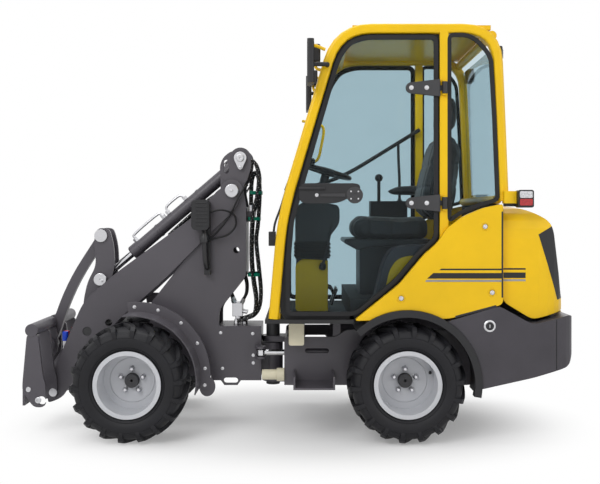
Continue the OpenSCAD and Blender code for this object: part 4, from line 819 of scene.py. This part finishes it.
for z, x in ((1.262, 0.206), (1.118, 0.216), (0.808, 0.216)):
    ring = soft_ring([(x - 0.018, -0.056), (x + 0.05, -0.088), (x + 0.05, 0.088), (x - 0.018, 0.056)], 0.02)
    loft(bm, [[bm.verts.new((a, b, h)) for a, b in ring] for h in (z, z + 0.018)], False)
piece("hose_ties", bm, "green", "front_body", 50)
bm = bmesh.new()
for x, y in [(0.286, y) for y in HOSE_ROW] + [(0.33, 0.06), (0.33, -0.06)]:
    lathe(bm, [(0.013, 0), (0.013, 0.014), (0.0095, 0.016), (0.0095, 0.03)], (x, y, 0.5415), (0, 0, 1), 6)
for y in HOSE_ROW:
    lathe(bm, [(0.0135, 0), (0.0135, 0.016), (0.0115, 0.018), (0.0115, 0.034)],
          (0.251, y, 1.1685), (0, 0, 1), 6)
# Valve block on the neck with its unions, and the lines that leave it
for y in (-0.03, 0.03):
    for x, z, slant in ((0.302, 0.655, -0.4), (0.345, 0.66, 0.3)):
        lathe(bm, [(0.013, 0), (0.013, 0.018), (0.0105, 0.02), (0.0105, 0.03)], (x, y, z), (slant, 0, 1), 6)
    tube(bm, [(0.27, y, 0.605), (0.304, y, 0.612)], 0.009, 8)
piece("hose_fittings", bm, "zinc", "front_body", 30)
bm = bmesh.new()
box(bm, (0.296, -0.052, 0.585), (0.352, 0.052, 0.66))
box(bm, (0.31, -0.04, 0.5405), (0.338, 0.04, 0.59))
piece("valve_block", bm, "bright", "front_body", 30, 0.003)
bm = bmesh.new()
for y in (-0.03, 0.03):
    pipe(bm, [(0.291, y, 0.68), (0.276, y, 0.715), (0.275, y, 0.77), (0.292, y, 0.83)], 0.0085, 12, 8)
    pipe(bm, [(0.353, y, 0.686), (0.372, y, 0.73), (0.405, y, 0.78), (0.43, y, 0.83)], 0.0085, 12, 8)
piece("valve_lines", bm, "rubber", "front_body", 60)

# Rounded flaps at the lower end of the mudguards
bm = bmesh.new()
for s in BOTH:
    x, z = around(AXLE_X["front"], AXLE_Z, 0.374, 189)
    ring = []
    for i in range(40):
        a = 2 * pi * i / 40
        stretch = 1.0 if cos(a) > 0 else 1.12
        ring.append((x + 0.04 * cos(a) * stretch, z + 0.052 * sin(a)))
    plate(bm, ring, s * 0.2575, s * 0.2665)
piece("guard_flaps", bm, "grey", "front_body", 40, 0.002)


# Boom, rocker and carrier: caps, couplings and pipes

bm = bmesh.new()
for s in BOTH:
    cap(bm, *BOOM_AXIS, 0.1562, s, 0.0365, 0.007)
    bolt(bm, (BOOM_AXIS[0], s * 0.163, BOOM_AXIS[1]), (0, s, 0), 0.006)
piece("boom_pin_caps", bm, "bright", "boom_body", 30)
bm = bmesh.new()
for s in BOTH:
    cap(bm, *ROCKER_EYE, 0.0722, s, 0.0352, 0.006)
    bolt(bm, (1.068, s * 0.0782, 0.785), (0, s, 0), 0.005)
piece("tilt_eye_caps", bm, "bright", "rocker_body", 30)

COUPLING_X = 1.2624
COUPLING_Z = 0.3735
RED_Y = 0.078
BLUE_Y = 0.104
bm = bmesh.new()
for y in (RED_Y, BLUE_Y, -RED_Y, -BLUE_Y):
    lathe(bm, [(0.0135, 0.034), (0.0135, 0.05), (0.011, 0.052), (0.011, 0.058), (0.0135, 0.06),
               (0.0135, 0.078), (0.0125, 0.09)], (COUPLING_X, y, COUPLING_Z), (0, 0, 1), 20)
    lathe(bm, [(0.016, 0.01), (0.016, 0.032), (0.012, 0.035)], (COUPLING_X, y, COUPLING_Z), (0, 0, 1), 6)
piece("coupling_sleeves", bm, "zinc", "boom_body", 30)
for look, y in (("blue", BLUE_Y), ("red", RED_Y)):
    bm = bmesh.new()
    for s in BOTH:
        lathe(bm, [(0.0155, 0.086), (0.0165, 0.09), (0.0165, 0.128), (0.0145, 0.136), (0.004, 0.138)],
              (COUPLING_X, s * y, COUPLING_Z), (0, 0, 1), 24)
    piece("coupling_caps_" + look, bm, look, "boom_body", 35)
bm = bmesh.new()
for s in BOTH:
    loop = []
    for i in range(25):
        a = 2 * pi * i / 24
        sag = 0.045 * (1 - cos(2 * a)) / 2
        across = (RED_Y + BLUE_Y) / 2 + (BLUE_Y - RED_Y) / 2 * cos(a)
        loop.append((COUPLING_X + 0.02 * sin(a), s * across, 0.505 - sag))
    tube(bm, loop, 0.0016, 6)
piece("coupling_lanyards", bm, "rubber", "boom_body", 60)

EYE = Vector((TILT_EYE[0], 0, TILT_EYE[1]))
ALONG = (Vector((ROCKER_EYE[0], 0, ROCKER_EYE[1])) - EYE).normalized()
UP = Vector((-ALONG.z, 0, ALONG.x))
BOW_LOW = 0.06
BOW_HIGH = 0.076


def on_tilt(d, up, y):
    """A place beside the tilt cylinder, by the way along it and above it."""
    return EYE + ALONG * d + UP * up + Vector((0, y, 0))


bm = bmesh.new()
for y, a, b in ((0.006, 0.383, 0.506), (-0.006, 0.543, 0.745)):
    pipe(bm, [on_tilt(a, 0.035, y), on_tilt(a + 0.004, BOW_LOW, y), on_tilt(a + 0.022, BOW_HIGH, y),
              on_tilt(b - 0.022, BOW_HIGH, y), on_tilt(b - 0.004, BOW_LOW, y),
              on_tilt(b, 0.034, y)], 0.0075)
    for d in (a, b):
        lathe(bm, [(0.015, 0), (0.015, 0.02), (0.011, 0.024)], on_tilt(d, 0.034, y), tuple(UP), 6)
piece("tilt_pipes", bm, "bright", "tilt_barrel_body", 35)
bm = bmesh.new()
lathe(bm, [(0.0365, 0), (0.0405, 0.002), (0.0405, 0.05), (0.036, 0.056), (0.0225, 0.058), (0.0225, 0.0)],
      on_tilt(0.752, 0, 0), tuple(ALONG), 40, False)
for d in (0.3, 0.6):
    lathe(bm, [(0.0362, 0), (0.0385, 0.001), (0.0385, 0.016), (0.0362, 0.017)], on_tilt(d, 0, 0),
          tuple(ALONG), 40, False)
piece("tilt_gland", bm, "grey", "tilt_barrel_body", 35)

bm = bmesh.new()
for s in BOTH:
    lathe(bm, [(0.0148, 0), (0.0148, 0.009), (0.012, 0.0115), (0.0005, 0.0115)],
          (1.3823, s * 0.3465, 0.24427), (0, s, 0), 32)
    lathe(bm, [(0.016, 0), (0.016, 0.003), (0.013, 0.005), (0.007, 0.005), (0.007, 0.001), (0.0005, 0.001)],
          (1.33, s * 0.358, 0.19), (0, s, 0), 24)
piece("carrier_lock_pins", bm, "bright", "carrier_body", 30)


# Cab inside: seat, column, levers, grab handle

CLOTH_FRAMES = 20
SKIN_STEP = 0.007
SEAM_WIDE = 0.016


def puffed(obj, most):
    """Lets a closed skin swell as cloth over its filling, with each point's way capped."""
    mesh = obj.data
    before = [v.co.copy() for v in mesh.vertices]
    cloth = obj.modifiers.new("cloth", "CLOTH")
    cloth.settings.quality = 5
    cloth.settings.mass = 0.3
    cloth.settings.tension_stiffness = 20
    cloth.settings.compression_stiffness = 20
    cloth.settings.use_pressure = True
    cloth.settings.uniform_pressure_force = 4.0
    cloth.settings.effector_weights.gravity = 0.0
    cloth.collision_settings.use_collision = False
    cloth.point_cache.frame_start = 1
    cloth.point_cache.frame_end = CLOTH_FRAMES
    for f in range(1, CLOTH_FRAMES + 1):
        scene.frame_set(f)
    swollen = obj.evaluated_get(bpy.context.evaluated_depsgraph_get())
    after = [v.co.copy() for v in swollen.to_mesh().vertices]
    swollen.to_mesh_clear()
    obj.modifiers.remove(cloth)
    for v, a, b in zip(mesh.vertices, before, after):
        way = b - a
        if way.length > most:
            way *= most / way.length
        v.co = a + way
    scene.frame_set(1)


def pad(name, outline, half, crown, most, seams, wide=SEAM_WIDE):
    """A stuffed pad from its side outline: crowned, remeshed, swollen as cloth, with sewn seams.

    A seam is given as the axis across it, its place on that axis and its depth.
    """
    bm = bmesh.new()
    rows = [(-1.0, 0.8), (-0.86, 0.97), (-0.45, 1.0), (0.0, 1.0), (0.45, 1.0), (0.86, 0.97), (1.0, 0.8)]
    centre = sum((Vector(q) for q in outline), Vector((0, 0))) / len(outline)
    loops = []
    for share, size in rows:
        ring = []
        for q in outline:
            at = centre + (Vector(q) - centre) * (size - crown * share * share)
            ring.append(bm.verts.new((at.x, share * half, at.y)))
        loops.append(ring)
    loft(bm, loops)
    obj = piece(name, bm, "hide", "rear_body", 60)
    mod = obj.modifiers.new("skin", "REMESH")
    mod.mode = "VOXEL"
    mod.voxel_size = SKIN_STEP
    soft = bpy.data.meshes.new_from_object(obj.evaluated_get(bpy.context.evaluated_depsgraph_get()))
    obj.modifiers.remove(mod)
    obj.data = soft
    puffed(obj, most)
    tree = BVHTree.FromPolygons([v.co for v in soft.vertices], [f.vertices for f in soft.polygons])
    # Sewn channels: the skin is drawn in along each seam
    for axis, place, deep in seams:
        for v in soft.vertices:
            d = (v.co[axis] - place) / wide
            if abs(d) < 1:
                v.co -= v.normal * deep * (1 - abs(d)) ** 2
    for f in soft.polygons:
        f.use_smooth = True
    sub = obj.modifiers.new("fine", "SUBSURF")
    sub.levels = 1
    sub.render_levels = 1
    return obj, tree


def piping(bm, tree, points):
    """A welt laid on a pad along points that are drawn to its skin."""
    path = []
    for q in even(smooth_path(points, 10), 0.012):
        path.append(tree.find_nearest(q)[0])
    tube(bm, path, 0.0032, 8)


def lean(points, foot, angle):
    """Turns an outline about its foot, backwards by an angle."""
    c = cos(radians(angle))
    s = sin(radians(angle))
    return [(foot[0] + x * c - z * s, foot[1] + x * s + z * c) for x, z in points]


outline = [(-0.29, 1.03), (-0.285, 1.105), (-0.33, 1.13), (-0.6, 1.118), (-0.735, 1.13), (-0.735, 1.022)]
seams = ((1, 0.12, 0.007), (1, -0.12, 0.007), (0, -0.4, 0.006), (0, -0.52, 0.006))
cushion, cushion_skin = pad("seat_cushion", soft_ring(outline, 0.035), 0.228, 0.06, 0.014, seams)
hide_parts("seat_pad")
BACK_FOOT = (-0.675, 1.075)
BACK_LEAN = 9.6
outline = lean([(0.0, 0.06), (0.012, 0.2), (-0.004, 0.4), (-0.02, 0.53), (-0.075, 0.55), (-0.13, 0.5),
                (-0.15, 0.2), (-0.14, 0.05)], BACK_FOOT, BACK_LEAN)
seams = ((1, 0.115, 0.007), (1, -0.115, 0.007), (2, 1.3, 0.006), (2, 1.42, 0.006), (2, 1.54, 0.005))
back_skin = pad("seat_back", soft_ring(outline, 0.04), 0.222, 0.06, 0.014, seams)[1]
outline = [(-0.782, 1.61), (-0.785, 1.7), (-0.812, 1.795), (-0.87, 1.8), (-0.888, 1.72), (-0.872, 1.61)]
pad("seat_headrest", soft_ring(outline, 0.03), 0.13, 0.08, 0.012, ((2, 1.7, 0.004),), 0.014)
bm = bmesh.new()
for s in BOTH:
    piping(bm, cushion_skin, [(-0.3, s * 0.2, 1.12), (-0.36, s * 0.225, 1.14), (-0.5, s * 0.235, 1.13),
                              (-0.65, s * 0.235, 1.13), (-0.74, s * 0.21, 1.14)])
    piping(bm, back_skin, [(-0.68, s * 0.2, 1.15), (-0.69, s * 0.23, 1.25), (-0.72, s * 0.23, 1.45),
                           (-0.75, s * 0.21, 1.58), (-0.77, s * 0.12, 1.62), (-0.775, 0, 1.63)])
piece("seat_welts", bm, "satin", "rear_body", 60)
bm = bmesh.new()
for y in (0.07, -0.07):
    pipe(bm, [(-0.79, y, 1.54), (-0.815, y, 1.6), (-0.83, y, 1.66)], 0.006)
piece("headrest_posts", bm, "bright", "rear_body", 40)
arm = pad("seat_armrest", soft_ring([(-0.535, 1.288), (-0.57, 1.268), (-0.79, 1.27), (-0.79, 1.318),
                                     (-0.6, 1.316)], 0.02), 0.03, 0.05, 0.006, ())[0]
for v in arm.data.vertices:
    v.co.y -= 0.28
bm = bmesh.new()
for k in range(9):
    z = 0.912 + 0.0105 * k
    swell = 0.006 if k % 2 else 0.0
    box(bm, (-0.184 - swell, -0.1515 - swell, z), (0.004 + swell, 0.1515 + swell, z + 0.0095))
piece("column_bellows", bm, "rubber", "rear_body", 30, 0.003)
COVER_REAR = -0.1755
COVER_FRONT = 0.0015
COVER_FOOT = 0.6225
COVER_TOP = 0.9
COVER_HALF = 0.1232
bm = bmesh.new()
outline = [(COVER_REAR, COVER_FOOT), (COVER_FRONT, COVER_FOOT), (COVER_FRONT, 0.875), (-0.03, 0.908),
           (COVER_REAR, COVER_TOP)]
for s in BOTH:
    plate(bm, soft_ring(outline, 0.018), s * 0.1202, s * COVER_HALF)
box(bm, (COVER_REAR, -COVER_HALF, COVER_FOOT), (-0.1723, COVER_HALF, COVER_TOP))
piece("column_cover", bm, "yellow", "rear_body", 30, 0.001)
bm = bmesh.new()
pipe(bm, [(-0.221, 0.13, 1.2), (-0.2, 0.142, 1.12), (-0.165, 0.15, 0.95), (-0.149, 0.15, 0.885)], 0.0085)
lathe(bm, [(0.006, -0.022), (0.016, -0.016), (0.0205, 0.0), (0.018, 0.013), (0.009, 0.02)],
      (-0.1455, 0.15, 0.868), (0.2, 0, -1), 20)
lathe(bm, [(0.012, 0), (0.013, 0.012), (0.02, 0.02), (0.022, 0.032), (0.016, 0.043), (0.004, 0.046)],
      (-0.093, 0.12, 1.412), (0.28, 0, 1), 20)
piece("column_levers", bm, "satin", "rear_body", 40)

# Pedals, seat tray, console beside the seat, and the rail's post
bm = bmesh.new()
for y in (0.06, -0.06):
    pipe(bm, [(-0.17, y, 0.75), (-0.195, y, 0.74), (-0.209, y, 0.71)], 0.009)
    plate(bm, soft_ring([(-0.19, 0.655), (-0.2, 0.65), (-0.232, 0.74), (-0.222, 0.745)], 0.004),
          y - 0.04, y + 0.04)
piece("pedals", bm, "satin", "rear_body", 35, 0.003)
bm = bmesh.new()
plate(bm, soft_ring([(-0.258, 0.998), (-0.262, 1.02), (-0.725, 1.018), (-0.725, 0.985), (-0.42, 0.978),
                     (-0.33, 0.96)], 0.012), -0.226, 0.226)
piece("seat_tray", bm, "satin", "rear_body", 35, 0.008, 3)
bm = bmesh.new()
plate(bm, soft_ring([(-0.398, 0.69), (-0.434, 0.842), (-0.45, 0.907), (-0.4856, 0.969), (-0.537, 0.989),
                     (-0.735, 0.999), (-0.735, 0.69)], 0.03), 0.272, 0.405)
piece("seat_console", bm, "weight", "rear_body", 35, 0.008, 3)
bm = bmesh.new()
for s in BOTH:
    plate(bm, [(-0.285, 0.622), (-0.285, 0.708), (-0.47, 0.708), (-0.47, 0.668), (-0.4, 0.645),
               (-0.345, 0.622)], s * 0.425, s * 0.431)
piece("deck_skirts", bm, "mat", "rear_body", 35, 0.001)
bm = bmesh.new()
plate(bm, soft_ring([(-0.4446, 0.7), (-0.4804, 0.866), (-0.516, 0.918), (-0.5624, 0.938), (-0.73, 0.943),
                     (-0.73, 0.7)], 0.03), 0.4045, 0.4085)
piece("console_panel", bm, "yellow", "rear_body", 35, 0.0015)
bm = bmesh.new()
pipe(bm, [(-0.62, -0.4035, 1.586), (-0.622, -0.402, 1.48), (-0.626, -0.392, 1.36),
          (-0.626, -0.388, 1.229)], 0.0085)
lathe(bm, [(0.018, 0), (0.018, 0.004), (0.012, 0.008), (0.009, 0.02)], (-0.626, -0.386, 1.2295),
      (0, 0, 1), 20)
piece("rail_post", bm, "satin", "rear_body", 40)
bm = bmesh.new()
pipe(bm, [(-0.035, -0.432, 1.722), (-0.1, -0.42, 1.712), (-0.155, -0.415, 1.69), (-0.166, -0.415, 1.65),
          (-0.15, -0.415, 1.56), (-0.136, -0.415, 1.5), (-0.11, -0.418, 1.472), (-0.05, -0.425, 1.468),
          (0.02, -0.434, 1.47)], 0.0085, 12, 8)
piece("grab_handle", bm, "yellow", "rear_body", 60)


# Cab outside: window seals, wiper, mirror faces, lamps, handle

CAB_FRONT = 0.153
CAB_LONG = 1.23
CAB_FOOT = 0.62
CAB_TALL = 1.495
QUARTER_FRONT = -0.7727
GLASS_IN = 0.4583
GLASS_OUT = 0.4703


def on_cab(shares, foremost=CAB_FRONT):
    """Places on the cab's side from shares of its length and height, none before a foremost one."""
    return [(min(CAB_FRONT - CAB_LONG * a, foremost), CAB_FOOT + CAB_TALL * b) for a, b in shares]


door_ring = soft_ring(on_cab([(0.085, 0.013), (0.085, 0.187), (0.099, 0.328), (0.221, 0.682),
                              (0.293, 0.883), (0.341, 0.94), (0.415, 0.96), (0.71, 0.96), (0.71, 0.269),
                              (0.648, 0.231), (0.546, 0.13), (0.375, 0.013)]), 0.04)
quarter_ring = soft_ring(on_cab([(0.75, 0.963), (0.826, 0.963), (0.866, 0.948), (0.906, 0.914),
                                 (0.929, 0.883), (0.943, 0.69), (0.957, 0.402), (0.886, 0.387),
                                 (0.804, 0.36), (0.75, 0.328)], QUARTER_FRONT), 0.03)
bm = bmesh.new()
band(bm, door_ring, -0.019, 0.028, 0.437, 0.446)
band(bm, door_ring, -0.016, 0.012, -GLASS_IN, -GLASS_OUT)
for s in BOTH:
    band(bm, quarter_ring, -0.014, 0.006, s * GLASS_IN, s * GLASS_OUT)
piece("window_seals", bm, "rubber", "rear_body", 40)

bm = bmesh.new()
for s in BOTH:
    bm.faces.new([bm.verts.new((-0.0936, s * a, b)) for a, b in rounded(0.496, 1.802, 0.604, 2.003, 0.012)])
piece("mirror_faces", bm, "mirror", "rear_body", 30)

bm = bmesh.new()
pipe(bm, [(0.118, 0.25, 1.02), (0.11, 0.25, 1.1), (0.075, 0.24, 1.2), (0.035, 0.2, 1.34),
          (-0.012, 0.12, 1.5), (-0.03, 0.08, 1.56)], 0.0065, 8)
tube(bm, [(0.058, 0.21, 1.28), (-0.0765, 0.03, 1.655)], 0.005, 6)
box(bm, (0.105, 0.215, 0.985), (0.142, 0.285, 1.06))
piece("wiper", bm, "satin", "rear_body", 35, 0.003)


LAMP_RIM = 0.008


def work_lamp(name, low, high, face):
    """A small square lamp with a rim round its lens."""
    bm = bmesh.new()
    box(bm, low, high)
    piece(name, bm, "black", "rear_body", 35, 0.008, 3)
    bm = bmesh.new()
    x = high[0] if face > 0 else low[0]
    ring = rounded(low[1] + LAMP_RIM, low[2] + LAMP_RIM, high[1] - LAMP_RIM, high[2] - LAMP_RIM, 0.01)
    y = (low[1] + high[1]) / 2
    z = (low[2] + high[2]) / 2
    rim = [bm.verts.new((x + face * 0.001, a, b)) for a, b in ring]
    top = [bm.verts.new((x + face * 0.006, y + (a - y) * 0.8, z + (b - z) * 0.8)) for a, b in ring]
    skirt(bm, rim, top)
    bm.faces.new(top)
    piece(name + "_lens", bm, "clear", "rear_body", 50)


for s, tag in ((1, "left"), (-1, "right")):
    y = sorted((s * 0.34, s * 0.43))
    work_lamp("roof_lamp_" + tag, (-0.128, y[0], 1.93), (-0.074, y[1], 2.02), 1)
    y = sorted((s * 0.30, s * 0.38))
    work_lamp("rear_roof_lamp_" + tag, (-1.068, y[0], 1.94), (-1.022, y[1], 2.02), -1)
bm = bmesh.new()
for s in BOTH:
    pipe(bm, [(-0.1, s * 0.385, 1.935), (-0.11, s * 0.385, 1.9), (-0.15, s * 0.4, 1.89),
              (-0.158, s * 0.42, 1.905)], 0.008, 10)
    pipe(bm, [(-0.078, s * 0.53, 1.992), (-0.084, s * 0.5, 1.998), (-0.11, s * 0.47, 1.998),
              (-0.15, s * 0.452, 1.985)], 0.0085)
piece("roof_lamp_arms", bm, "yellow", "rear_body", 40)

# Rear lamp lenses, lamp brackets, bolts in their cups, locks, and dark strips on the panels, one of them
# painted shade
PANEL_BOLTS = ((-0.95, 1.09), (-0.53, 0.731), (-0.985, 0.76))
PANEL_Y = 0.5
PANEL_SKIN = 0.5002
LOCK_X = -0.972
LOCK_Z = 0.593
for s, tag in ((1, "left"), (-1, "right")):
    for look, z in (("tail", 1.195), ("clear", 1.233)):
        bm = bmesh.new()
        plate(bm, rounded(-1.178, z, -1.114, z + 0.033, 0.008), s * 0.5325, s * 0.5365)
        piece(look + "_lens_" + tag, bm, look, "rear_body", 30, 0.001)

bm = bmesh.new()
for s in BOTH:
    for x, z in PANEL_BOLTS:
        bolt(bm, (x, s * PANEL_Y, z), (0, s, 0), 0.0075)
    lathe(bm, [(0.03, 0), (0.03, 0.004), (0.026, 0.007), (0.021, 0.007), (0.02, 0.002), (0.0005, 0.002)],
          (LOCK_X, s * PANEL_Y, LOCK_Z), (0, s, 0), 40)
    box(bm, (LOCK_X - 0.002, s * 0.5062, LOCK_Z - 0.008), (LOCK_X + 0.002, s * 0.5072, LOCK_Z + 0.008))
piece("panel_bolts", bm, "zinc", "rear_body", 30)
bm = bmesh.new()
for s in BOTH:
    lathe(bm, [(0.0192, 0.0015), (0.0192, 0.0045), (0.016, 0.0065), (0.0005, 0.0065)],
          (LOCK_X, s * PANEL_Y, LOCK_Z), (0, s, 0), 32)
    # A thin black strip along the panel's rear edge: painted shade of the gap between the side panel and
    # the hood
    plate(bm, [(-1.0315, 0.735), (-1.0395, 0.735), (-1.0395, 1.165), (-1.0315, 1.165)],
          s * PANEL_SKIN, s * 0.5009)
    plate(bm, [(-0.8, 0.6335), (-1.005, 0.6881), (-1.005, 0.6981), (-0.8, 0.6435)],
          s * PANEL_SKIN, s * 0.5014)
piece("panel_locks_and_dark_strips", bm, "satin", "rear_body", 30)
bm = bmesh.new()
for s in BOTH:
    for x, z in PANEL_BOLTS:
        lathe(bm, [(0.022, 0), (0.0215, 0.002), (0.0185, 0.003), (0.0155, 0.002), (0.0125, 0.0004)],
              (x, s * PANEL_Y, z), (0, s, 0), 28)
    y = sorted((s * 0.456, s * 0.5))
    box(bm, (-1.1075, y[0], 1.206), (-1.045, y[1], 1.268))
piece("panel_cups", bm, "yellow", "rear_body", 30, 0.004)

# Plain stripes along the side panels and on over the hood
on_hood = beside("hood")
STRIPE_END = -1.036
HOOD_START = -1.05
HOOD_END = -1.19
END_SLANT = 0.03
for tag, look, rows in (
        ("black", "decal", ((0.83, 0.858, -0.66, -0.69), (0.872, 0.88, -0.72, -0.73))),
        ("grey", "silver", ((0.814, 0.824, -0.65, -0.656),))):
    panel = bmesh.new()
    hood = bmesh.new()
    for s in BOTH:
        for low, high, start, start_high in rows:
            outline = [(start, low), (STRIPE_END, low), (STRIPE_END, high), (start_high, high)]
            plate(panel, outline, s * PANEL_SKIN, s * 0.5008)
            edges = [[(HOOD_START, z), (HOOD_END + z * END_SLANT, z)] for z in (high, low)]
            laid_strip(hood, on_hood, *edges, s)
    piece("side_stripes_" + tag, panel, look, "rear_body", 30)
    piece("hood_stripes_" + tag, hood, look, "hood_body", 60)

# Parting line of the counterweight's end block
on_weight = beside("counterweight")
SEAM_X = -1.305
SEAM_LONG = 0.0045
heights = [0.3 + 0.005 * i for i in range(80)]
heights = [z for z in heights if on_weight(SEAM_X, z, 1) and on_weight(SEAM_X - 0.005, z, 1)]
bm = bmesh.new()
for s in BOTH:
    edges = [[(x, heights[-1]), (x, heights[0])] for x in (SEAM_X, SEAM_X - SEAM_LONG)]
    laid_strip(bm, on_weight, *edges, s, 0.0005)
piece("weight_seam", bm, "rubber", "rear_body", 60)

# Door: hinge bolts, lock plate and handle
DOOR_FACE = 0.48
DOOR_LOCK = (-0.2986, 1.248)
HINGE_TIP = -0.583
HINGE_FACE = 0.4842
bm = bmesh.new()
hinges = bmesh.new()
for z in (1.208, 1.787):
    for x in (HINGE_TIP, -0.66):
        bolt(bm, (x, HINGE_FACE, z), (0, 1, 0), 0.0075)
    tip = arc(HINGE_TIP, z, 0.028, -80, 80, 17)
    plate(hinges, tip + [(-0.728, z + 0.044), (-0.728, z - 0.044)], 0.4702, HINGE_FACE)
piece("hinge_plates", hinges, "dark", "door_body", 35, 0.003)
for x, z in arc(*DOOR_LOCK, 0.026, 45, 315, 4):
    bolt(bm, (x, DOOR_FACE, z), (0, 1, 0), 0.0045)
bolt(bm, (-0.108, DOOR_FACE, DOOR_LOCK[1]), (0, 1, 0), 0.006)
piece("door_bolts", bm, "zinc", "door_body", 30)
bm = bmesh.new()
lathe(bm, [(0.042, 0), (0.042, 0.0015), (0.04, 0.003), (0.012, 0.003), (0.009, 0.001), (0.0005, 0.001)],
      (DOOR_LOCK[0], DOOR_FACE + 0.0002, DOOR_LOCK[1]), (0, 1, 0), 40)
ring = soft_ring([(-0.252, 1.239), (-0.125, 1.241), (-0.125, 1.255), (-0.252, 1.257)], 0.006)
plate(bm, ring, 0.4802, 0.4862)
piece("door_handle", bm, "dark", "door_body", 30, 0.0012)

# Ground, light and camera

bm = bmesh.new()
bmesh.ops.create_grid(bm, x_segments=1, y_segments=1, size=40)
floor_mesh = bpy.data.meshes.new("floor")
bm.to_mesh(floor_mesh)
bm.free()
floor = bpy.data.objects.new("floor", floor_mesh)
scene.collection.objects.link(floor)
floor_look, tree, bsdf = shader("floor_white")
preset(bsdf, {"Base Color": (0.93, 0.93, 0.93, 1), "Roughness": 0.9, "Specular IOR Level": 0.0})


def seen_rays(tree):
    """1 for rays that show the background to the eye, in metal or through glass, else 0."""
    path = tree.nodes.new("ShaderNodeLightPath")
    total = path.outputs["Is Camera Ray"]
    for name in ("Is Glossy Ray", "Is Transmission Ray"):
        add = tree.nodes.new("ShaderNodeMath")
        add.operation = "ADD"
        add.use_clamp = True
        tree.links.new(total, add.inputs[0])
        tree.links.new(path.outputs[name], add.inputs[1])
        total = add.outputs["Value"]
    return total


# The floor fades to the white of the background away from the machine
spot = tree.nodes.new("ShaderNodeTexCoord")
squeeze = tree.nodes.new("ShaderNodeMapping")
squeeze.inputs["Scale"].default_value = (0.52, 0.8, 0.0)
away = tree.nodes.new("ShaderNodeVectorMath")
away.operation = "LENGTH"
fade = tree.nodes.new("ShaderNodeMapRange")
fade.interpolation_type = "SMOOTHSTEP"
preset(fade, {"From Min": 0.45, "From Max": 0.88, "To Min": 0.22})
white = tree.nodes.new("ShaderNodeEmission")
amount = tree.nodes.new("ShaderNodeMath")
amount.operation = "MULTIPLY"
mix = tree.nodes.new("ShaderNodeMixShader")
link(tree, spot, "Object", squeeze, "Vector")
link(tree, squeeze, "Vector", away, 0)
link(tree, away, "Value", fade, "Value")
link(tree, fade, "Result", amount, 0)
tree.links.new(seen_rays(tree), amount.inputs[1])
link(tree, amount, "Value", mix, "Fac")
tree.links.new(bsdf.outputs["BSDF"], mix.inputs[1])
tree.links.new(white.outputs["Emission"], mix.inputs[2])
tree.links.new(mix.outputs["Shader"], tree.nodes["Material Output"].inputs["Surface"])
floor_mesh.materials.append(floor_look)

world = bpy.data.worlds.new("studio")
scene.world = world
world.use_nodes = True
tree = world.node_tree
back = tree.nodes["Background"]
pick = tree.nodes.new("ShaderNodeMapRange")
preset(pick, {"To Min": 0.42, "To Max": 1.0})
tree.links.new(seen_rays(tree), pick.inputs["Value"])
tree.links.new(pick.outputs["Result"], back.inputs["Strength"])
back.inputs["Color"].default_value = (1, 1, 1, 1)


def light(name, power, place, aim, size):
    data = bpy.data.lights.new(name, "AREA")
    data.energy = power
    data.shape = "RECTANGLE"
    data.size = size[0]
    data.size_y = size[1]
    obj = bpy.data.objects.new(name, data)
    obj.visible_transmission = False
    obj.location = place
    obj.rotation_euler = (Vector(aim) - Vector(place)).to_track_quat("-Z", "Y").to_euler()
    scene.collection.objects.link(obj)
    return obj


light("key", 150, (2.6, 4.6, 4.6), (0, 0, 0.8), (3.2, 3.2))
light("fill", 62, (-4.2, 4.2, 3.0), (-0.3, 0, 0.9), (3.0, 3.0))
light("top", 110, (0, -0.6, 5.6), (0, 0, 0), (4.5, 3.0))
light("rim", 60, (-2.0, -4.5, 3.2), (0, 0, 1.0), (3.0, 2.5))
inside = light("inside", 5, (-0.45, 0, 2.03), (-0.45, 0, 1.0), (0.5, 0.6))
inside.visible_camera = False
inside.visible_glossy = False

camera = bpy.data.cameras.new("camera")
PHOTO_WIDE = 600
camera.lens = 49.5
camera.sensor_width = 36
camera.shift_x = -2 / PHOTO_WIDE
camera.shift_y = -28 / PHOTO_WIDE
camera.clip_end = 100
eye = bpy.data.objects.new("camera", camera)
eye.location = (-0.034, 4.624, 1.153)
eye.rotation_euler = (radians(90), 0, radians(180))
scene.collection.objects.link(eye)
scene.camera = eye
scene.view_settings.view_transform = "Standard"
